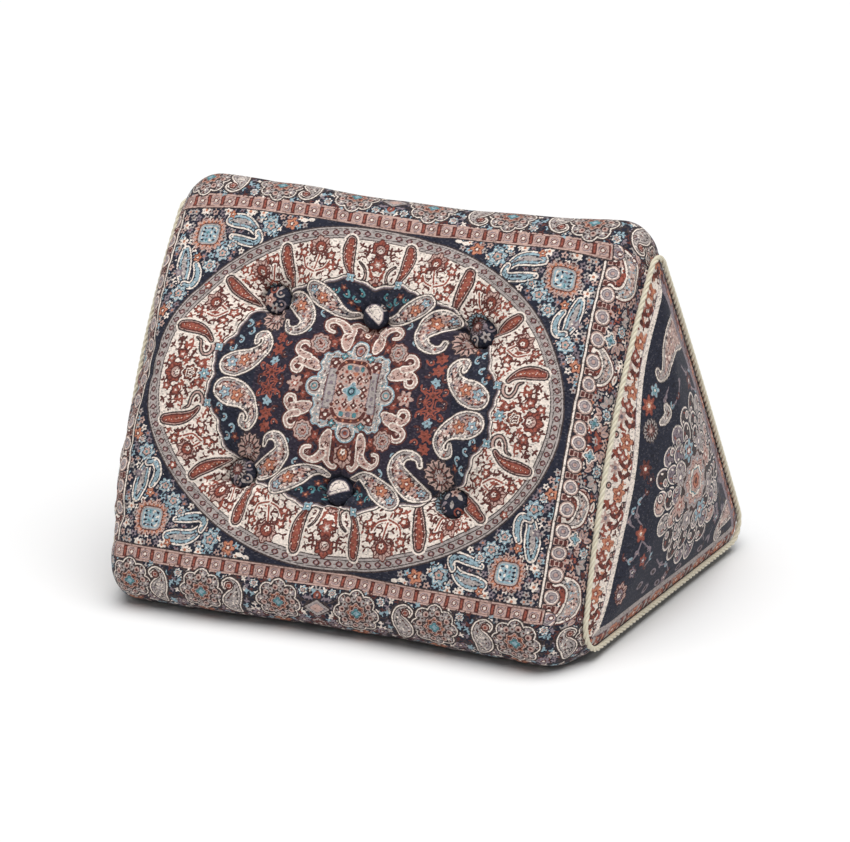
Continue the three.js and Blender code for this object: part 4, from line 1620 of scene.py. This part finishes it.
def puckers(x, rise):
    """The filling that swells up beside each button, and the creases that run out from it."""
    height = 0.0
    for number, (tuft_x, tuft_rise) in enumerate(TUFTS.values()):
        chance = np.random.default_rng(WRINKLE_SEED + number)
        dx, dy = x - tuft_x, rise - tuft_rise
        distance, angle = np.hypot(dx, dy), np.arctan2(dy, dx)
        beyond = np.maximum(distance - SEAT_RADIUS, 0)
        rises = 1 - np.exp(-beyond / SWELL_RISE)
        waves = sum(
            size * np.cos(count * angle + chance.uniform(0, FULL_TURN)) for count, size in SWELL_WAVES
        )
        swell = SWELL_HEIGHT * (1 + SWELL_UNEVEN * waves) * rises * np.exp(-beyond / SWELL_REACH)
        height = height + swell + PUCKER_HEIGHT * waves * rises * np.exp(-beyond / PUCKER_REACH)
        first = chance.uniform(0, FULL_TURN)
        for k in range(CREASES):
            direction = first + 2 * np.pi * (k + chance.uniform(-CREASE_SPREAD, CREASE_SPREAD)) / CREASES
            height = height - crease(chance, direction, dx, dy)
    return height


def valleys(x, rise):
    """Shallow hollows that join the tufts of each row."""
    height = 0.0
    tufts = list(TUFTS.values())
    for (x0, rise0), (x1, rise1) in zip(tufts, tufts[1:]):
        if x1 < x0:
            continue
        along = np.clip((x - x0) / (x1 - x0), 0, 1)
        away = np.hypot(x - mix(x0, x1, along), rise - mix(rise0, rise1, along))
        hollow = VALLEY_DEPTH * np.exp(-((away / VALLEY_WIDTH) ** 2))
        height = height - hollow * (1 - VALLEY_EASE * np.sin(np.pi * along))
    return height


def gathers(along, up, half):
    """Small uneven gathers where the cloth is sewn to the end panels."""
    from_seam = half - np.abs(along)
    side = np.sign(along)
    wave = (
        np.sin(up / 6.3 + 1.3 * side)
        + 0.8 * np.sin(up / 10.1 + 2.1 * side + 0.7 * np.sin(up / 37))
        + 0.6 * np.sin(up / 3.9 + 0.5 * side)
    )
    return GATHER_HEIGHT * wave * np.exp(-from_seam / GATHER_REACH)


def unevenness(along, up):
    """The slack of hand-filled cloth over its whole length."""
    return (
        0.9 * np.sin(along / 41 + 0.9 * np.sin(up / 57) + 0.4)
        + 0.8 * np.sin(up / 33 + 1.1 * np.sin(along / 49) + 2.0)
        + 0.4 * np.sin(along / 17 + up / 23)
    )


def blurred(field, passes):
    """A grid smoothed over its neighbours; its rows join up and its columns end at the seams."""
    for _ in range(passes):
        field = (np.roll(field, 1, 1) + 2 * field + np.roll(field, -1, 1)) / 4
        padded = np.concatenate([field[:1], field, field[-1:]])
        field = (padded[:-2] + 2 * padded[1:-1] + padded[2:]) / 4
    return field


def pressed_out(coarse, held):
    """A coarse grid of the wrap after its filling has pressed it out, with the held points pinned."""
    columns, rows = coarse.shape[:2]
    faces = grid_faces(rows, columns, around=True)[:, ::-1]
    mesh = new_mesh("settling", coarse.transpose(1, 0, 2).reshape(-1, 3), faces)
    cloth = add_object("settling", mesh)
    pins = cloth.vertex_groups.new(name="pins")
    pins.add(np.flatnonzero(held.T.ravel()).tolist(), 1.0, "REPLACE")
    modifier = cloth.modifiers.new("cloth", "CLOTH")
    settings = modifier.settings
    settings.vertex_group_mass = "pins"
    settings.use_pressure = True
    settings.uniform_pressure_force = SETTLE_PRESSURE
    settings.shrink_min = -SETTLE_SLACK
    settings.bending_stiffness = SETTLE_STIFFNESS
    settings.effector_weights.gravity = 0
    modifier.collision_settings.use_collision = False
    modifier.point_cache.frame_end = SETTLE_FRAMES
    for frame_number in range(1, SETTLE_FRAMES + 1):
        bpy.context.scene.frame_set(frame_number)
    shaped = cloth.evaluated_get(bpy.context.evaluated_depsgraph_get()).data
    after = np.zeros(len(shaped.vertices) * 3)
    shaped.vertices.foreach_get("co", after)
    bpy.data.objects.remove(cloth)
    bpy.context.scene.frame_set(1)
    return after.reshape(rows, columns, 3).transpose(1, 0, 2) / METRE


def spread(values, places, count):
    """A grid of vectors at some places of its first axis, read at all of them, with its axes swapped."""
    fine = np.arange(count)
    return np.stack([
        [np.interp(fine, places, values[:, j, k]) for j in range(values.shape[1])] for k in range(3)
    ], -1)


def settled(points, held, parts):
    """How the cloth wrinkles when the filling presses it out, simulated on a coarse grid of the wrap."""
    columns = np.arange(0, points.shape[0], SETTLE_COLUMNS)
    rows = np.concatenate([np.flatnonzero(parts == part)[:: SETTLE_ROWS[part]] for part in PARTS])
    grid = np.ix_(columns, rows)
    moved = pressed_out(points[grid], held[grid]) - points[grid]
    moved = SETTLE_SHARE * (moved - blurred(moved, SETTLE_BLUR))
    length = np.linalg.norm(moved, axis=-1, keepdims=True)
    moved = moved * SETTLE_CAP / np.maximum(length, SETTLE_CAP)
    by_row = spread(moved, columns, points.shape[0])
    closed = np.concatenate([by_row, by_row[:1]])
    return blurred(spread(closed, np.append(rows, points.shape[1]), points.shape[1]), FINE_BLUR)


def grid_normals(points):
    """Outward normals of a grid that closes on itself from row to row."""
    across = np.gradient(points, axis=0)
    wrapped = np.concatenate([points[:, -1:], points, points[:, :1]], 1)
    onward = wrapped[:, 2:] - wrapped[:, :-2]
    return unit(np.cross(across, onward))


def wrap_points():
    """The whole wrap with its wrinkles, its normals and its place in the cloth."""
    points, along, up, girth, rows = surface()
    across, height = np.meshgrid(along, up, indexing="ij")
    half = along[-1]
    x = points[:, :, 0]
    parts = np.array([part for part, share in rows])
    on_front = parts == "front"
    on_base = parts == "base"
    rise = (up - up[on_front][0] + CORNERS["front"]["full"][2])[None, :]
    wrinkle = (puckers(x, rise) + valleys(x, rise)) * np.where(on_front, 1, 0)[None, :]
    ease = np.clip((half - np.abs(across)) / GATHER_EASE, 0, 1)
    uneven = unevenness(across, height) * np.minimum(1, (half - np.abs(across)) / UNEVEN_EASE)
    edge = np.clip(np.minimum(1, np.minimum(height, girth - height) / EDGE_EASE), 0, 1)
    free = np.where(on_base, 0.0, 1.0)[None, :]
    total = wrinkle + (gathers(across, height, half) * ease + uneven * edge) * free
    back_seam = up[parts == "back"][0]
    total = total - SEAM_DEPTH * np.exp(-(((height - back_seam) / SEAM_WIDTH) ** 2))
    points = points + grid_normals(points) * total[..., None]
    seats = [np.hypot(x - tuft_x, rise - tuft_rise) for tuft_x, tuft_rise in TUFTS.values()]
    held = (np.min(seats, axis=0) < SEAT_RADIUS + 1) & on_front[None, :] | on_base[None, :]
    held[[0, -1]] = True
    calm = np.array([CALM.get(part, ELSEWHERE_CALM) for part in parts])[None, :]
    calm = ease * free * blurred(calm + 0 * x, CALM_BLUR)
    points = points + settled(points, held, parts) * calm[..., None]
    points[:, :, 2] = np.maximum(points[:, :, 2], 0)
    return points, grid_normals(points), across, height, girth, parts


def make_wrap(material):
    points, normals, across, height, girth, parts = wrap_points()
    rows = points.shape[1]
    front_rows = int(np.isin(parts, ("front_arc", "front", "ridge_arc")).sum())
    back_rows = int(np.isin(parts, ("back", "back_arc")).sum())
    cuts = [round(front_rows * share) for share in (0, 1 / 3, 2 / 3, 1)]
    strips = [
        ("wrap_front_lower", cuts[0], cuts[1], 1, weave_front),
        ("wrap_front_middle", cuts[1], cuts[2], 1, weave_front),
        ("wrap_front_upper", cuts[2], cuts[3], 1, weave_front),
        ("wrap_back", front_rows, front_rows + back_rows, 2, weave_back),
        ("wrap_base", front_rows + back_rows, rows, 3, lambda u, v: plain_weave(u.size)),
    ]
    for name, start, end, stride, weave in strips:
        take = np.arange(start, end + 1) % rows
        piece = points[::stride, take]
        u, v = across[::stride, take], height[::stride, take].copy()
        v[:, take == 0] += girth * (start > 0)
        make_piece(
            name, piece, grid_faces(*piece.shape[:2]), material, ["body"],
            cloth=flat_place(u, v), amounts=weave(u, v),
            normals=normals[::stride, take], flat=np.stack([u, v], -1),
        )


def panel_folds(place, share):
    """Shallow unevenness of the end panel, none at its seam."""
    y, z = place.T
    slack = 1.2 * np.sin(y / 37 + 0.8 * np.sin(z / 43)) + 0.9 * np.sin(z / 29 + 1.7)
    return slack * (1 - share**4)


def ring_faces(starts, sizes, centre):
    """Faces between rings of points, each ring as large as the one before or half of it, and a centre."""
    faces = []
    for start, size, after, inner in zip(starts, sizes, starts[1:], sizes[1:]):
        i = np.arange(inner)
        if inner == size:
            quads = (start + i, start + (i + 1) % size, after + (i + 1) % inner, after + i)
            faces += np.stack(quads, -1).tolist()
            continue
        a, b, c = start + 2 * i, start + 2 * i + 1, start + (2 * i + 2) % size
        p, q = after + i, after + (i + 1) % inner
        faces += np.concatenate([np.stack(t, -1) for t in ((a, b, p), (b, c, q), (b, q, p))]).tolist()
    i = np.arange(sizes[-1])
    last = starts[-1]
    return faces + np.stack([last + i, last + (i + 1) % sizes[-1], np.full_like(i, centre)], -1).tolist()


def make_end_panel(name, end, node, material):
    """The swelling panel of one end (-1 or 1), with a narrow upright edge at its seam."""
    outline, _, _ = seam_outline(PANEL_POINTS)
    middle = outline.mean(0)
    reach = np.linalg.norm(outline - middle, axis=1).mean()
    count = round(reach / PANEL_STEP)
    flat_x = LENGTH / 2 + CLEARANCE / 2
    points, starts, flat = [], [], []
    total = 0
    shares = [1.0, *(1 - np.arange(count) / count)]
    sizes = [PANEL_POINTS // 2 ** int(max(0, math.floor(-math.log2(share) + 0.25))) for share in shares]
    for number, (share, size) in enumerate(zip(shares, sizes)):
        here = outline[:: PANEL_POINTS // size]
        place = middle + (here - middle) * share
        out = np.full(size, flat_x)
        if number > 0:
            out = flat_x + PANEL_EDGE + PANEL_CROWN * (1 - share**2) + panel_folds(place, share)
        points.append(np.concatenate([end * out[:, None], place], 1))
        flat.append((here - middle) * (1 - number / len(shares)))
        starts.append(total)
        total += size
    points = np.concatenate([*points, [[end * (flat_x + PANEL_EDGE + PANEL_CROWN), *middle]]])
    faces = ring_faces(starts, sizes, total)
    if end > 0:
        faces = [face[::-1] for face in faces]
    u, v = points[:, 1], points[:, 2]
    make_piece(
        name, points, faces, material, [node],
        cloth=flat_place(u, v), amounts=weave_panel(u, v),
        flat=np.concatenate([*flat, [[0, 0]]]),
    )


# The cords
TWIST_LAY = 21.0
CORD_STRANDS = 3
STRAND_RADIUS = 1.35
STRAND_OFFSET = 1.45
STRAND_SIDES = 8
STRAND_STEP = 1.6
STRAND_SHIFT = 20  # from one strand to the next in the yarn's own pattern


def make_cord(name, end, node, material):
    """Three strands twisted round each other along the seam of one end (-1 or 1)."""
    _, _, length = seam_outline(PANEL_POINTS)
    steps = round(length / STRAND_STEP)
    away = STRAND_OFFSET + STRAND_RADIUS + CLEARANCE
    path, outward, _ = seam_outline(steps, away)
    turns = round(length / TWIST_LAY)
    around = np.arange(STRAND_SIDES) / STRAND_SIDES * 2 * np.pi
    run = np.arange(steps) / steps
    points, cloth, faces = [], [], []
    for strand_number in range(CORD_STRANDS):
        phase = 2 * np.pi * (turns * run + strand_number / CORD_STRANDS)
        centre = path + outward * (STRAND_OFFSET * np.cos(phase))[:, None]
        x = end * (LENGTH / 2 + away) + STRAND_OFFSET * np.sin(phase)
        line = np.concatenate([x[:, None], centre], 1)
        tangent = unit(np.roll(line, -1, 0) - np.roll(line, 1, 0))[:, None]
        side = unit(np.cross(tangent, (1.0, 0, 0)))
        other = np.cross(tangent, side)
        rim = np.cos(around)[:, None] * side + np.sin(around)[:, None] * other
        points.append((line[:, None] + STRAND_RADIUS * rim).reshape(-1, 3))
        u, v = np.meshgrid(run * length, around * STRAND_RADIUS, indexing="ij")
        cloth.append(flat_place(u, v + STRAND_SHIFT * strand_number).reshape(-1, 3))
        i, j = np.arange(steps)[:, None], np.arange(STRAND_SIDES)[None]
        here, ahead = i * STRAND_SIDES, (i + 1) % steps * STRAND_SIDES
        beside = (j + 1) % STRAND_SIDES
        quads = np.broadcast_arrays(here + j, here + beside, ahead + beside, ahead + j)
        faces.append(strand_number * steps * STRAND_SIDES + np.stack([quad.ravel() for quad in quads], -1))
    make_piece(
        name, np.concatenate(points), np.concatenate(faces), material, [node],
        cloth=np.concatenate(cloth),
    )


# The buttons
BUTTON_DOME = 5.6
DOME_POWERS = (2.4, 0.6)
BUTTON_RINGS = 18
BUTTON_SPOKES = 72
PLEATS = 14
PLEAT_HEIGHT = 0.35
PLEAT_POWER = 6
SCRAP_STEP = 100  # between the buttons' places in the cloth that the weave is read from


def make_buttons(material):
    """Domes of cloth drawn over the buttons, with small pleats at their rims."""
    radius = BUTTON_DIAMETER / 2
    share = np.linspace(0, 1, BUTTON_RINGS)
    angle = np.arange(BUTTON_SPOKES) / BUTTON_SPOKES * 2 * np.pi
    share, turn = np.meshgrid(share, angle)
    reach = np.sin(share * np.pi / 2) * radius
    inner, outer = DOME_POWERS
    dome = BUTTON_DOME * (1 - (reach / radius) ** inner) ** outer
    u, v = reach * np.cos(turn), reach * np.sin(turn)
    flat = np.stack([share * np.cos(turn), share * np.sin(turn)], -1)
    faces = grid_faces(BUTTON_SPOKES, BUTTON_RINGS, around=True)[:, ::-1]
    for number, (tuft, place) in enumerate(TUFTS.items()):
        middle, out, up = tuft_frame(*place)
        pleats = PLEAT_HEIGHT * np.cos(turn * PLEATS + number) * (reach / radius) ** PLEAT_POWER
        lift = dome + pleats + CLEARANCE
        points = middle + u[..., None] * np.array([1.0, 0, 0]) + v[..., None] * up + lift[..., None] * out
        make_piece(
            "covered_button_" + tuft, points, faces, material, ["button_" + tuft],
            cloth=flat_place(u + SCRAP_STEP * number, v),
            amounts=weave_button(BUTTON_MOTIFS[tuft], u, v), flat=flat,
        )


# The room
FLOOR_SIZE = 14
FLOOR_COLOUR = (0.86, 0.86, 0.86, 1)
WORLD_LIGHT = 0.25
SUN = {"strength": 3.1, "angle": 60.0, "from": (0.15, -0.15, 1.0)}


def make_room():
    """A plain pale floor and soft light."""
    bpy.ops.mesh.primitive_plane_add(size=FLOOR_SIZE)
    floor = bpy.context.object
    floor.name = "floor"
    shader = Shader("floor")
    shader.set(Base_Color=FLOOR_COLOUR, Roughness=0.9, Specular_IOR_Level=0.1)
    floor.data.materials.append(shader.material)
    world = bpy.data.worlds.new("world")
    bpy.context.scene.world = world
    world.use_nodes = True
    background = world.node_tree.nodes["Background"]
    background.inputs["Color"].default_value = (1, 1, 1, 1)
    background.inputs["Strength"].default_value = WORLD_LIGHT
    data = bpy.data.lights.new("sun", "SUN")
    data.energy = SUN["strength"]
    data.angle = math.radians(SUN["angle"])
    lamp = add_object("sun", data)
    lamp.rotation_euler = (-Vector(SUN["from"])).to_track_quat("-Z", "Y").to_euler()
    bpy.context.scene.view_settings.view_transform = "Standard"


place_camera()
cloth_material = woven_cloth("woven_cloth")
cord_material = cord_yarn("cord_yarn")
make_wrap(cloth_material)
for side_name, end in (("left", -1), ("right", 1)):
    make_end_panel("panel_cloth_" + side_name, end, "end_panel_" + side_name, cloth_material)
    make_cord("twist_cord_" + side_name, end, "cord_" + side_name, cord_material)
make_buttons(cloth_material)
make_room()
